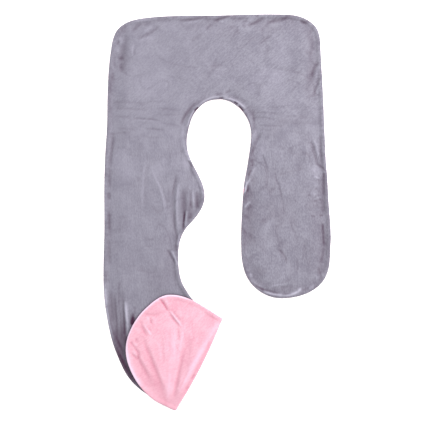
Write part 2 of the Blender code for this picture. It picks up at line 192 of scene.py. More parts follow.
@dataclass
class CutGrid:
    """The flat cut of a panel as a grid of points, rows by columns.

    A row starts at a point of the seam, its column 0, and runs straight to its point of the spine, which is
    half way between the outer and the inner edge of the U. The rows of the two round ends fan out from the
    spine's ends. The first columns keep set distances from the seam and the rest share out what is left.
    """

    rim_depths: tuple[float, ...] = (0, 0.3, 1.2, 2.5, 4.0, 6.5, 9.0, 12.0, 15.0, 18.5)  # mm
    plain_columns: int = 36
    coarse_rim: tuple[int, ...] = (0, 5, 7, 9)  # the rim columns that a panel's inner face has
    coarse_step: int = 4  # and of the rest it has every fourth one, counted back from the spine
    least_square: float = 0.45  # rows leave the seam no more askew than this cosine
    seam_skip: int = 3  # depths are measured to a line through every third point of the seam
    ring: np.ndarray = field(init=False)
    points: np.ndarray = field(init=False)
    depth: np.ndarray = field(init=False)
    spine_rows: np.ndarray = field(init=False)

    def __post_init__(self) -> None:
        """Works out the ring, the grid's points and their distances from the seam."""
        self.ring, spine, self.spine_rows = self._ring_and_spine()
        ahead = np.roll(self.ring, -1, axis=0) - np.roll(self.ring, 1, axis=0)
        ahead /= np.linalg.norm(ahead, axis=1)[:, None]
        inward = np.stack([-ahead[:, 1], ahead[:, 0]], axis=1)
        run = spine[self.spine_rows] - self.ring
        length = np.linalg.norm(run, axis=1)
        square = np.maximum((run * inward).sum(axis=1) / length, self.least_square)
        set_depths = np.array(self.rim_depths) * MM
        rim = set_depths / square[:, None]
        share = np.arange(1, self.plain_columns + 1) / self.plain_columns
        rest = rim[:, -1:] + (length[:, None] - rim[:, -1:]) * share
        reach = np.concatenate([rim, rest], axis=1)
        self.points = self.ring[:, None] + (reach / length[:, None])[..., None] * run[:, None]
        seam = np.roll(self.ring, -1, axis=0)[:: self.seam_skip]
        plain = self.points[:, len(set_depths) :].transpose(1, 0, 2)
        depths = np.stack([distance_to_line(column, seam, True) for column in plain], axis=1)
        self.depth = np.concatenate([np.tile(set_depths, (len(run), 1)), depths], axis=1)

    def _ring_and_spine(self) -> tuple[np.ndarray, np.ndarray, np.ndarray]:
        """Draws the cut's edge, with the outer and the inner edge of the U at the same number of points.

        Returns:
            The seam line counterclockwise, the spine, and which spine point each seam point looks to.
        """
        outer_knots = [Knot(p.outer_x, p.outer_y, p.outer_way) for p in PLACES]
        inner_knots = [Knot(p.inner_x, p.inner_y, p.inner_way) for p in PLACES]
        counts = []
        for here, there in zip(PLACES, PLACES[1:]):
            outer_run = math.hypot(there.outer_x - here.outer_x, there.outer_y - here.outer_y)
            inner_run = math.hypot(there.inner_x - here.inner_x, there.inner_y - here.inner_y)
            counts.append(max(1, round(max(outer_run, inner_run) / here.step)))
        foot_knots = [outer_knots[-1], *FOOT_END, turned(inner_knots[-1])]
        leg_knots = [turned(inner_knots[0]), *LEG_END, outer_knots[0]]
        outer, inner = smooth_edge(outer_knots, counts), smooth_edge(inner_knots, counts)
        foot = smooth_edge(foot_knots, knot_rows(foot_knots, END_STEP))[1:-1]
        leg = smooth_edge(leg_knots, knot_rows(leg_knots, END_STEP))[1:-1]
        if (len(foot) + len(leg)) % 2:  # the inner face has every second row, so their number is even
            counts_leg = knot_rows(leg_knots, END_STEP)
            leg = smooth_edge(leg_knots, [*counts_leg[:-1], counts_leg[-1] + 1])[1:-1]
        last = len(outer) - 1
        there, back = np.arange(last + 1), np.arange(last, -1, -1)
        looks_to = np.concatenate([there, np.full(len(foot), last), back, np.zeros(len(leg), int)])
        return np.concatenate([outer, foot, inner[::-1], leg]), (outer + inner) / 2, looks_to

    def seam_along(self) -> np.ndarray:
        """How far round the seam each row starts."""
        step = np.linalg.norm(np.roll(self.ring, -1, axis=0) - self.ring, axis=1)
        return np.concatenate([[0.0], np.cumsum(step)[:-1]])

    def area(self) -> float:
        """The flat area inside the seam, by the shoelace formula."""
        x, y = self.ring.T
        return float(0.5 * (x * np.roll(y, -1) - y * np.roll(x, -1)).sum())

    def size(self) -> tuple[float, float]:
        """The flat cut's width and length."""
        width, length = np.ptp(self.ring, axis=0)
        return float(width), float(length)

    def coarse_columns(self) -> np.ndarray:
        """The columns of a panel's inner face, which nobody sees."""
        plain = np.arange(self.points.shape[1] - 1, len(self.rim_depths), -self.coarse_step)
        return np.concatenate([self.coarse_rim, plain[::-1]])

    def lowest_near(self, values: np.ndarray) -> np.ndarray:
        """The lowest value in the cells of the inner face's mesh round each grid point.

        Those cells are two rows long and at most as wide as the widest step between coarse columns. A point
        of the spine has the lowest value of all the rows that look to it.

        Args:
            values: a value for each grid point.

        Returns:
            The lowest value near each grid point.
        """
        lowest = np.minimum.reduce([np.roll(values, shift, axis=0) for shift in range(-2, 3)])
        reach = int(np.diff(self.coarse_columns()).max())
        padded = np.pad(lowest, ((0, 0), (reach, reach)), mode="edge")
        columns = values.shape[1]
        lowest = np.minimum.reduce([padded[:, shift : shift + columns] for shift in range(2 * reach + 1)])
        spine = np.full(self.spine_rows.max() + 1, np.inf)
        np.minimum.at(spine, self.spine_rows, lowest[:, -1])
        lowest[:, -1] = spine[self.spine_rows]
        return lowest

    @staticmethod
    def faces(numbers: np.ndarray) -> np.ndarray:
        """Triangles between neighbouring rows and columns, facing up, round the whole ring.

        Each cell is halved on the same diagonal. At the spine, where two rows of a fan share a point, a cell
        is one triangle.

        Args:
            numbers: the vertex number of each grid point.

        Returns:
            Three vertex numbers for each triangle.
        """
        near, far = numbers[:, :-1], numbers[:, 1:]
        next_near, next_far = np.roll(near, -1, axis=0), np.roll(far, -1, axis=0)
        halves = [np.stack([near, next_near, next_far], axis=-1), np.stack([near, next_far, far], axis=-1)]
        triangles = np.concatenate([half.reshape(-1, 3) for half in halves])
        a, b, c = triangles.T
        return triangles[(a != b) & (b != c) & (c != a)]

    @staticmethod
    def seam_faces(seam: np.ndarray, inner: np.ndarray) -> np.ndarray:
        """Triangles, facing up, from the seam's points to the first points of every second row.

        Args:
            seam: the vertex number of each seam point, an even count.
            inner: the vertex number of each second row's first point inside the seam.

        Returns:
            Three triangles for each of those rows.
        """
        even, odd, after = seam[::2], seam[1::2], np.roll(seam[::2], -1)
        ahead = np.roll(inner, -1)
        strips = [(even, odd, inner), (odd, ahead, inner), (odd, after, ahead)]
        return np.concatenate([np.stack(strip, axis=-1) for strip in strips])


# ---------------------------------------------------------------------------------------------------------
# How it lies
# ---------------------------------------------------------------------------------------------------------


@dataclass(frozen=True)
class Lie:
    """How points of the flat cut lie: where they are along and across the crease, how far they are lifted,
    which way is out of the cloth, and how much each belongs to the leg and to the turned-over flap."""

    origin: np.ndarray
    ways: tuple[np.ndarray, np.ndarray]
    along: np.ndarray
    across: np.ndarray
    rise: np.ndarray
    out_across: np.ndarray
    out_up: np.ndarray
    on_leg: np.ndarray
    on_flap: np.ndarray

    def plan(self) -> np.ndarray:
        """Where each point lies, seen from above."""
        return self.origin + self.along[..., None] * self.ways[0] + self.across[..., None] * self.ways[1]

    def placed(self, base: np.ndarray, out: np.ndarray) -> np.ndarray:
        """Points that start at height base, are lifted by the fold, then move out of the cloth by out."""
        plan = self.plan() + (self.out_across * out)[..., None] * self.ways[1]
        return np.concatenate([plan, (base + self.rise + self.out_up * out)[..., None]], axis=-1)


@dataclass(frozen=True)
class Crease:
    """The line that the foot is turned over on, and the loop that the cloth makes there."""

    low: tuple[float, float] = (-133.5 * MM, -607.0 * MM)
    high: tuple[float, float] = (10.8 * MM, -323.0 * MM)
    bow: float = 5.0 * MM
    loop_at_ends: float = 4.5 * MM
    loop_at_middle: float = 8.0 * MM
    flap_settles: float = 80.0 * MM  # over which the flap comes down from the loop
    foot_ends: float = 1.25  # in crease lengths: past it along the line lies the right leg
    flap_depth: float = 226.0 * MM
    flap_presses: float = 1.02  # how far the leg is kept pressed, and where it is free, in flap sizes
    flap_clear: float = 1.16
    beside: float = 1.28  # where the painted shadow strip beside the flap ends, in flap sizes, and over what it fades
    beside_fade: float = 0.22
    beside_top: float = -290.0 * MM  # the strip begins here along Y and is full a little lower
    beside_grows: float = 115.0 * MM

    def length(self) -> float:
        """The straight distance between the crease's ends."""
        return math.dist(self.low, self.high)

    def ways(self) -> tuple[np.ndarray, np.ndarray]:
        """Unit vectors along the crease, and across it towards the flat foot."""
        along = (np.array(self.high) - np.array(self.low)) / self.length()
        return along, np.array([along[1], -along[0]])

    def shape(self, along: np.ndarray) -> tuple[np.ndarray, np.ndarray]:
        """How far the crease bows out, and its loop's radius: both parabolas, fullest at the middle."""
        middle = np.maximum(1 - (2 * along / self.length() - 1) ** 2, 0.0)
        return self.bow * middle, self.loop_at_ends + (self.loop_at_middle - self.loop_at_ends) * middle

    def lie(self, cut: np.ndarray) -> Lie:
        """Carries the flat cut over the crease.

        Past the crease a point goes half round a circle of the loop's radius, and from there back over the
        leg, mirrored. Beyond the loop the flap comes down to the height that it has at the two seams.

        Args:
            cut: points of the flat cut, with x and y last.

        Returns:
            How they lie.
        """
        origin, (way, side) = np.array(self.low), self.ways()
        offset = cut - origin
        along = offset @ way
        bow, radius = self.shape(along)
        past = offset @ side - bow
        foot = along < self.length() * self.foot_ends
        angle = np.where(foot, np.clip(past / radius, 0.0, math.pi), 0.0)
        flat = past - radius * math.pi
        share = np.clip(flat / self.flap_settles, 0.0, 1.0)
        drop = 2 * (radius - self.loop_at_ends)
        folded = np.where(flat > 0, -flat, radius * np.sin(angle))
        slope = np.where(foot, drop / self.flap_settles * 6 * share * (1 - share), 0.0)
        tilt = angle + np.arctan(slope)
        return Lie(
            origin=origin,
            ways=(way, side),
            along=along,
            across=np.where(foot & (past > 0), folded, past) + bow,
            rise=radius * (1 - np.cos(angle)) - np.where(foot, drop * smooth_step(share), 0.0),
            out_across=-np.sin(tilt),
            out_up=np.cos(tilt),
            on_leg=smooth_step(1 - angle / math.pi * 2),
            on_flap=smooth_step(angle / math.pi * 2 - 1),
        )

    def _reach(self, plan: np.ndarray) -> np.ndarray:
        """How far out each laid point is from the flap's middle, with the flap as a rounded square.

        It is the fourth root of the sum of the fourth powers of the ways along and across the flap.

        Args:
            plan: the laid points, seen from above.

        Returns:
            A distance for each point, 1 at the flap's edge.
        """
        way, side = self.ways()
        offset = plan - np.array(self.low)
        along = (offset @ way) / self.length() * 2 - 1
        deep = np.maximum(-(offset @ side) / self.flap_depth, 0.0)
        return (along**4 + deep**4) ** 0.25

    def covered(self, plan: np.ndarray) -> np.ndarray:
        """1 where a laid point is under the flap and 0 well clear of it."""
        return smooth_step((self.flap_clear - self._reach(plan)) / (self.flap_clear - self.flap_presses))

    def flap_shadow_strip(self, plan: np.ndarray) -> np.ndarray:
        """1 in the strip of the leg beside the flap's lower left edge, which gets a painted shadow."""
        near = smooth_step((self.beside - self._reach(plan)) / self.beside_fade)
        return near * smooth_step((self.beside_top - plan[..., 1]) / self.beside_grows)


class Fold(NamedTuple):
    """A soft ridge (height above 0) or trough (below 0) as seen from above, in millimetres.

    It runs from (x, y) to (to_x, to_y), bows to its left by bow, and is about twice as wide as its width."""

    x: float
    y: float
    to_x: float
    to_y: float
    bow: float
    width: float
    height: float


# The main folds, which lift the whole cloth
FRONT_FOLDS = (
    # head end
    Fold(-248, 533, -178, 575, -5, 9, -2.5),
    Fold(-276, 548, -296, 430, -5, 11, -3.0),
    Fold(90, 575, 146, 601, -3, 8, -2.0),
    Fold(315, 466, 285, 408, -5, 9, -3.0),
    Fold(319, 422, 295, 362, -1, 9, -2.5),
    # bump
    Fold(-127, 118, -124, -120, -11, 9, -4.0),
    Fold(-117, 90, -121, -78, -5, 8, 3.0),
    Fold(-103, 64, -107, -52, 2, 8, -4.0),
    Fold(-62, 60, -61, 4, 2, 9, -3.5),
    Fold(-200, 128, -158, -6, 8, 9, 2.0),
    Fold(-154, -112, -125, -160, 0, 9, -3.0),
    # gathers beside the turned-over foot
    Fold(-286, -262, -277, -368, 0, 9, 4.0),
    Fold(-295, -244, -289, -380, 0, 9, -3.5),
    Fold(-270, -300, -280, -352, 0, 10, -3.5),
    # right leg
    Fold(132, 244, 104, 168, -4, 9, -3.0),
    Fold(286, 230, 325, 126, -3, 9, -3.0),
    Fold(326, -32, 330, -108, -2, 9, -2.5),
)
FLAP_FOLDS = (
    Fold(-174, -266, -112, -350, -3, 9, -3.0),
    Fold(-146, -330, -146, -520, 0, 16, 2.5),
    Fold(-226, -384, -166, -560, 1, 10, -3.5),
    Fold(-264, -432, -204, -534, 6, 9, -2.0),
    Fold(-110, -428, -134, -572, 0, 9, -3.0),
    Fold(-87, -378, -110, -506, 7, 10, -2.0),
    Fold(-36, -404, -124, -570, 0, 12, 2.5),
    Fold(-234, -342, -212, -378, 0, 9, -2.0),
)
# Fine creases, pressed into the pile, which also get painted shade in their troughs and a painted highlight
# on their ridges
FRONT_CREASES = (
    # head end, left corner
    Fold(-248, 533, -178, 575, -5, 4, -1.0),
    Fold(-243, 525, -196, 540, 2, 7, 0.5),
    Fold(-226, 553, -198, 573, 0, 5, 0.6),
    Fold(-262, 555, -231, 583, 3, 6, -1.2),
    Fold(-230, 578, -206, 580, 0, 4, -0.7),
    Fold(-300, 560, -278, 578, -2, 6, -0.9),
    Fold(-276, 548, -297, 470, -4, 11, -0.6),
    Fold(-286, 520, -290, 424, 0, 12, -0.6),
    Fold(-307, 474, -287, 474, 0, 4.5, -1.4),
    Fold(-298, 458, -293, 432, 0, 6, -0.8),
    Fold(-303, 530, -306, 514, 0, 4, -1.1),
    Fold(-252, 502, -257, 482, 0, 4, -0.7),
    Fold(-261, 517, -259, 480, 0, 4, 0.6),
    Fold(-300, 542, -293, 516, 0, 7, 0.7),
    Fold(-318, 505, -300, 494, 0, 5, 0.7),
    # head end, top edge
    Fold(-192, 597, -148, 599, 0, 5, -0.7),
    Fold(-140, 601, -122, 600, 0, 5, -0.9),
    Fold(-122, 589, -20, 606, -3, 4.5, -1.2),
    Fold(-108, 583, -34, 596, -2, 5, 0.8),
    Fold(-14, 588, 42, 606, 0, 4.5, -1.6),
    Fold(2, 587, 44, 595, 1, 5, 0.9),
    Fold(-17, 580, -36, 560, 0, 5, -1.0),
    Fold(-44, 552, -84, 524, 2, 6, -0.6),
    Fold(80, 587, 96, 589, 0, 4, -0.9),
    Fold(90, 575, 146, 601, -3, 4.5, -1.5),
    Fold(96, 590, 124, 603, 0, 5, 0.7),
    Fold(112, 605, 131, 605, 0, 4, -1.0),
    Fold(60, 560, 68, 546, 0, 5, -0.6),
    Fold(-2, 472, -36, 408, 4, 7, -0.5),
    Fold(150, 586, 228, 605, -4, 4.5, -1.3),
    Fold(158, 575, 215, 580, 0, 6, 0.5),
    Fold(228, 602, 234, 580, 0, 4, -0.7),
    Fold(128, 514, 170, 544, 3, 5, -0.9),
    Fold(158, 532, 192, 550, 2, 5, 0.5),
    # head end, right corner
    Fold(256, 584, 287, 588, 0, 7, -1.0),
    Fold(298, 578, 284, 545, 0, 6, -0.6),
    Fold(288, 552, 290, 495, 3, 6, -0.6),
    Fold(277, 538, 277, 500, 0, 5, 0.3),
    Fold(254, 590, 276, 582, 0, 4, -1.2),
    Fold(314, 464, 291, 416, -4, 5, -1.1),
    Fold(313, 456, 303, 408, 0, 5, 1.0),
    Fold(316, 414, 297, 356, -1, 4.5, -1.2),
    Fold(321, 412, 305, 362, -1, 4, 0.8),
    # head hollow: a pale line on the turned-in edge, dark in its gaps and behind it
    Fold(10, 356, -58, 329, -7, 2.6, 1.9),
    Fold(-56, 331, -91, 262, -6, 2.6, 2.2),
    Fold(-100, 268, -93, 172, -9, 5, 1.3),
    Fold(20, 352, 88, 318, 8, 2.8, 2.4),
    Fold(86, 320, 107, 256, 3, 3, 0.8),
    Fold(-50, 326, -78, 293, -4, 2.6, -2.4),
    Fold(-76, 298, -88, 250, -3, 2.6, -1.6),
    Fold(52, 341, 64, 333, 0, 2.8, -3.6),
    Fold(67, 328, 81, 311, 0, 3, -3.8),
    Fold(84, 306, 96, 276, 0, 2.6, -1.5),
    Fold(4, 351, 20, 352, 0, 2.6, -3.0),
    Fold(-58, 324, -72, 312, 0, 3, -3.6),
    Fold(-66, 336, -112, 266, -6, 4, -1.2),
    Fold(-90, 262, -91, 196, -1, 2.6, -1.2),
    Fold(-52, 348, -112, 268, -9, 6, -0.9),
    Fold(-107, 196, -110, 156, 0, 5, -0.6),
    Fold(-96, 196, -84, 150, 2, 3, 0.9),
    Fold(-88, 160, -77, 138, 0, 3, -3.0),
    Fold(24, 366, 42, 377, 0, 3.5, -1.3),
    Fold(-6, 362, 20, 364, 0, 3.5, -1.2),
    Fold(46, 358, 96, 330, 4, 4, -0.8),
    Fold(108, 318, 113, 240, 3, 4, -1.0),
    Fold(104, 240, 99, 190, 0, 3, -1.2),
    # left leg's outer border
    Fold(-322, 432, -324, 400, 0, 5, -0.9),
    Fold(-330, 404, -328, 362, 0, 4, -0.9),
    Fold(-330, 362, -331, 306, 0, 4, -0.9),
    Fold(-312, 345, -302, 316, 0, 10, -0.5),
    Fold(-318, 244, -331, 138, 0, 5, -1.3),
    Fold(-331, 140, -333, 74, 0, 5, -1.0),
    Fold(-334, 62, -333, 38, 0, 5, -1.2),
    Fold(-333, 4, -331, -66, 0, 5, -1.4),
    Fold(-335, -82, -331, -160, 0, 6, -0.9),
    Fold(-342, -178, -341, -216, 0, 5, -0.8),
    # left leg
    Fold(-262, 289, -176, 283, 1, 3, -0.94),
    Fold(-258, 284, -196, 280, 1, 3.5, 0.36),
    Fold(-318, 297, -266, 291, 0, 3, -0.65),
    Fold(-178, 297, -112, 299, 2, 3, -0.5),
    Fold(-330, 338, -236, 334, 3, 3, -0.43),
    Fold(-212, 340, -126, 345, -2, 3, -0.43),
    Fold(-316, 318, -214, 314, 2, 3, -0.58),
    Fold(-188, 320, -118, 314, 0, 3, -0.58),
    Fold(-334, 240, -262, 246, 1, 3, -0.72),
    Fold(-312, 257, -252, 254, 1, 3, -0.5),
    Fold(-222, 257, -160, 253, 0, 3, -0.72),
    Fold(-170, 272, -112, 264, 2, 3, -0.5),
    Fold(-240, 236, -150, 230, -2, 3, -0.43),
    Fold(112, 306, 196, 300, 2, 3, -0.58),
    Fold(110, 292, 178, 285, 2, 3, -0.65),
    Fold(118, 268, 210, 266, -2, 3, -0.5),
    Fold(206, 296, 286, 290, 2, 3, -0.43),
    Fold(236, 272, 316, 276, 0, 3, -0.43),
    Fold(150, 322, 226, 330, -3, 3, -0.43),
    Fold(222, 250, 270, 240, 0, 3.5, -0.43),
    Fold(-218, 168, -230, 10, -4, 3.5, 0.6),
    Fold(-213, 142, -222, 20, -3, 4.5, -0.4),
    Fold(-200, 128, -158, -6, 8, 3.5, 0.7),
    Fold(-193, 118, -151, 4, 8, 4.5, -0.5),
    Fold(-245, 115, -240, 92, 0, 5, -0.6),
    Fold(-225, -85, -190, -82, 0, 3.5, -0.5),
    Fold(-228, -105, -200, -104, 0, 3.5, -0.5),
    Fold(-235, -160, -232, -184, 0, 7, -0.5),
    # bump
    Fold(-124, 120, -140, 48, 1, 3, -1.3),
    Fold(-116, 96, -120, -40, -6, 3, 1.2),
    Fold(-102, 76, -103, -4, 0, 9, -1.2),
    Fold(-81, 110, -96, -10, 2, 3, 0.3),
    Fold(-62, 68, -61, 4, 0, 7, -1.2),
    Fold(-63, 44, -62, 16, 0, 4, -0.7),
    Fold(-82, 72, -80, 12, -1, 4, -1.4),
    Fold(-75, 66, -71, 8, 0, 3.5, 1.1),
    Fold(-80, 0, -84, -22, 0, 6, -0.9),
    Fold(-100, 6, -106, -58, 1, 3.5, -3.0),
    Fold(-93, 6, -99, -44, 0, 3, 2.6),
    Fold(-132, 8, -120, -92, -4, 3.5, -1.3),
    Fold(-117, -62, -120, -104, 0, 4, 1.4),
    Fold(-154, -114, -125, -160, 0, 3.5, -1.4),
    Fold(-140, -116, -122, -164, 0, 4.5, 2.3),
    Fold(-148, 88, -152, 24, 0, 3.5, -0.5),
    Fold(-52, 96, -44, 44, 2, 4, 0.5),
    Fold(-90, 92, -93, 52, 0, 3, -0.6),
    Fold(-128, -96, -124, -122, 0, 3.5, -0.9),
    # gathers beside the turned-over foot, in the band of painted shadow
    Fold(-315, -240, -312, -392, 0, 11, -1.1),
    Fold(-328, -240, -322, -340, 0, 5, -1.1),
    Fold(-316, -262, -308, -392, 2, 3, -0.9),
    Fold(-304, -226, -300, -330, 0, 3, -0.6),
    Fold(-297, -300, -294, -396, 0, 3, -0.7),
    Fold(-310, -250, -306, -322, 0, 3, 0.5),
    Fold(-300, -214, -302, -238, 0, 3.5, -0.8),
    Fold(-289, -262, -283, -378, 0, 4, -1.9),
    Fold(-284, -272, -274, -392, 2, 5, 2.4),
    Fold(-257, -308, -261, -348, -1, 5.5, -2.2),
    Fold(-255, -320, -264, -348, -1, 6, -1.6),
    Fold(-254, -288, -252, -314, 0, 4, -0.9),
    Fold(-344, -232, -340, -286, 0, 4, 1.2),
    Fold(-348, -206, -316, -400, -8, 3.5, 1.3),
    Fold(-333, -252, -312, -402, -7, 3.5, -1.2),
    # right leg, inner side
    Fold(140, 248, 104, 168, -5, 4.5, -1.5),
    Fold(120, 256, 104, 204, -2, 5, 0.8),
    Fold(128, 226, 112, 200, 0, 5, 0.7),
    Fold(108, 166, 108, 148, 0, 5, -1.0),
    Fold(108, 148, 110, 143, 0, 3, -2.2),
    Fold(106, 132, 96, 108, -1, 3, -1.3),
    Fold(90, 90, 85, 76, 0, 3, -2.0),
    Fold(118, 140, 103, 104, -2, 3, 1.4),
    Fold(104, 106, 94, 90, 0, 3, 1.6),
    Fold(93, 94, 81, 56, -1, 3, 4.6),
    Fold(98, 86, 90, 62, 0, 3.5, -2.2),
    Fold(102, 76, 84, 26, -6, 6, -0.8),
    Fold(104, 33, 84, 11, -3, 3.5, 1.8),
    Fold(106, 24, 92, 6, 0, 4, -1.0),
    Fold(93, -8, 82, -20, 0, 5, -0.8),
    Fold(139, 180, 156, 122, 1, 2.6, -1.2),
    Fold(178, 112, 200, 36, 3, 2.6, -1.2),
    Fold(198, 42, 206, -10, 2, 3.5, -0.6),
    Fold(176, 108, 282, 134, 5, 3, -0.5),
    Fold(134, -32, 172, -8, 0, 8, -0.5),
    Fold(134, -62, 176, -18, 0, 12, 0.6),
    Fold(94, -64, 119, -92, 0, 7, -0.6),
    Fold(84, -134, 94, -152, 0, 4, -0.8),
    Fold(104, -158, 146, -202, 0, 6, -0.5),
    Fold(124, -170, 152, -188, 0, 6, -0.4),
    # right leg, middle
    Fold(222, -14, 234, -64, 0, 3.5, -0.7),
    Fold(230, -8, 242, -48, 0, 3, -0.6),
    Fold(236, -50, 246, -88, 0, 3, -0.5),
    Fold(185, -112, 214, -158, 7, 3.5, -1.3),
    Fold(180, -126, 196, -150, 3, 4, 0.5),
    Fold(246, -138, 246, -192, 0, 4, -0.6),
    Fold(266, -88, 262, -150, 3, 3, -0.7),
    Fold(275, -80, 277, -160, -3, 3, -0.6),
    Fold(285, -96, 281, -170, 3, 3, -0.7),
    Fold(293, -84, 295, -132, 0, 3, -0.6),
    Fold(266, 20, 296, 10, 0, 9, -0.5),
    # right leg's outer border, rough in the middle
    Fold(317, 238, 322, 146, -1, 4, -1.3),
    Fold(326, 112, 326, 43, 1, 5, -1.3),
    Fold(326, 46, 329, -13, -1, 5, -1.1),
    Fold(289, 220, 309, 146, 0, 5.5, -1.1),
    Fold(303, 151, 332, 128, 2, 4.5, -1.6),
    Fold(327, 122, 328, 106, 0, 3.5, -1.8),
    Fold(298, 226, 313, 170, 0, 4, 0.9),
    Fold(288, 132, 304, 128, 0, 6, 0.6),
    Fold(297, 111, 313, 103, 1, 3, 1.2),
    Fold(309, 105, 317, 93, 0, 3, -0.9),
    Fold(292, 92, 306, 90, -1, 4, 0.6),
    Fold(300, 80, 312, 84, 1, 4, 0.8),
    Fold(299, 72, 309, 71, 0, 3.5, -0.9),
    Fold(284, 68, 292, 66, 0, 3, -0.8),
    Fold(290, 60, 306, 56, -2, 3.5, 0.9),
    Fold(278, 53, 289, 51, 0, 3, -1.3),
    Fold(294, 43, 316, 55, 0, 2.5, -0.8),
    Fold(296, 38, 318, 50, 0, 3, 0.8),
    Fold(296, 36, 311, 34, 0, 4, -1.2),
    Fold(238, 36, 243, 36, 0, 3, -1.2),
    Fold(312, 42, 322, 38, 0, 4, -1.0),
    Fold(246, 140, 262, 134, 0, 6, -0.5),
    Fold(300, 20, 312, 22, 0, 3, -0.8),
    Fold(300, 8, 318, 9, 0, 3, 0.7),
    Fold(288, -11, 301, -13, 0, 3, -1.4),
    Fold(313, -10, 327, -9, 0, 3, -1.5),
    Fold(282, 178, 290, 174, 0, 4, -0.7),
    Fold(325, -34, 328, -68, 0, 4, -1.9),
    Fold(328, -60, 329, -106, 0, 4, -1.6),
    Fold(328, -108, 319, -158, 1, 4, -1.3),
    # right leg's round end, with a pale roll at its foot
    Fold(102, -214, 150, -240, -3, 3.5, -0.9),
    Fold(123, -227, 198, -251, -4, 3.5, -2.0),
    Fold(196, -252, 232, -249, -1, 3, -1.3),
    Fold(141, -242, 206, -255, -3, 4, 3.0),
    Fold(200, -256, 256, -239, -5, 4, 3.0),
    Fold(248, -240, 260, -236, 0, 5, 2.4),
    Fold(262, -240, 282, -234, 0, 4, -0.8),
    Fold(282, -238, 300, -224, 0, 5, 1.4),
    Fold(158, -231, 220, -217, 1, 3.5, 1.0),
    Fold(193, -231, 232, -227, 0, 3.5, -0.9),
    Fold(101, -200, 106, -188, 0, 3.5, 1.4),
    Fold(104, -208, 113, -220, 0, 3.5, 0.8),
    Fold(304, -192, 310, -208, 0, 3.5, 1.0),
    Fold(327, -184, 323, -201, 0, 3.5, 1.0),
    Fold(312, -166, 316, -194, 0, 4, -0.8),
)
FLAP_CREASES = (
    # the crisp fold at the top and its pale tail
    Fold(-178, -264, -163, -281, 0, 3, -2.0),
    Fold(-169, -274, -152, -303, 1, 3, -2.8),
    Fold(-147, -300, -108, -350, 0, 3, 1.8),
    Fold(-137, -302, -112, -332, 0, 3.5, -0.7),
    Fold(-148, -312, -115, -352, 0, 3.5, -1.2),
    Fold(-166, -262, -146, -290, 1, 4, 0.7),
    # bumpy upper left
    Fold(-226, -311, -172, -309, -5, 5, -1.3),
    Fold(-176, -309, -154, -304, 0, 4, -0.8),
    Fold(-206, -322, -202, -344, 0, 3.5, -1.9),
    Fold(-216, -318, -208, -332, 0, 3.5, 0.9),
    Fold(-226, -342, -203, -377, 0, 3, 1.6),
    Fold(-236, -346, -214, -384, 0, 4, -1.3),
    Fold(-219, -350, -199, -368, 0, 3, -0.7),
    Fold(-238, -330, -230, -348, 0, 4, -0.7),
    Fold(-194, -322, -190, -352, 0, 5, 0.5),
    Fold(-252, -352, -238, -372, 0, 4, 0.6),
    # left
    Fold(-270, -396, -249, -421, 1, 3, -1.7),
    Fold(-252, -418, -243, -430, 0, 3, -1.9),
    Fold(-242, -426, -243, -452, 1, 3, -1.9),
    Fold(-264, -434, -246, -450, 0, 3, -1.7),
    Fold(-256, -400, -246, -412, 0, 3.5, 0.9),
    Fold(-257, -424, -252, -440, 0, 3.5, 0.8),
    Fold(-250, -384, -249, -404, 0, 3, -1.2),
    Fold(-246, -444, -208, -512, 1, 4.5, -0.9),
    Fold(-238, -436, -200, -502, 1, 5, 0.6),
    Fold(-236, -370, -158, -558, 0, 5.5, -0.9),
    Fold(-222, -374, -164, -520, 0, 5, 0.5),
    Fold(-242, -384, -178, -540, 3, 12, -0.4),
    Fold(-262, -452, -170, -584, 12, 20, -0.6),
    Fold(-230, -370, -228, -430, 0, 7, 0.7),
    # middle
    Fold(-170, -330, -152, -560, 6, 22, 0.4),
    Fold(-146, -352, -146, -450, 0, 4, -0.6),
    Fold(-132, -350, -130, -460, 0, 4.5, 0.7),
    Fold(-120, -352, -117, -396, 0, 3.5, -0.9),
    Fold(-168, -382, -162, -470, 0, 4, -0.6),
    Fold(-182, -392, -172, -450, 0, 4, 0.5),
    Fold(-154, -440, -152, -540, 0, 4, -0.4),
    Fold(-146, -490, -151, -580, 0, 7, 0.8),
    Fold(-86, -382, -131, -572, -4, 5.5, -1.0),
    Fold(-80, -384, -98, -470, 3, 7, -0.5),
    Fold(-97, -330, -122, -480, -3, 5, 0.8),
    Fold(-122, -470, -142, -566, 0, 4, 0.6),
    # right: squiggles, the bright band along the crease and the roll outside it
    Fold(-86, -389, -64, -383, -5, 3.5, -0.7),
    Fold(-60, -400, -45, -406, 0, 3.5, -0.6),
    Fold(-42, -308, 3, -333, 0, 4, -0.6),
    Fold(-60, -288, -36, -302, 0, 5, -0.5),
    Fold(2, -338, -40, -412, 0, 7, 0.7),
    Fold(-28, -386, -122, -552, 0, 9, 1.2),
    Fold(-84, -474, -116, -542, 0, 3.5, -1.2),
    Fold(-50, -404, -92, -478, 2, 6, -0.5),
    Fold(-68, -496, -80, -512, 0, 3.5, -1.2),
    Fold(-88, -532, -96, -548, 0, 3.5, -1.0),
    Fold(6, -350, -110, -571, 0, 5.5, -1.2),
    Fold(-110, -300, -112, -322, 0, 5, 0.5),
    Fold(-84, -300, -82, -346, 0, 6, -0.4),
    Fold(-150, -285, -60, -285, -8, 36, -0.4),
)
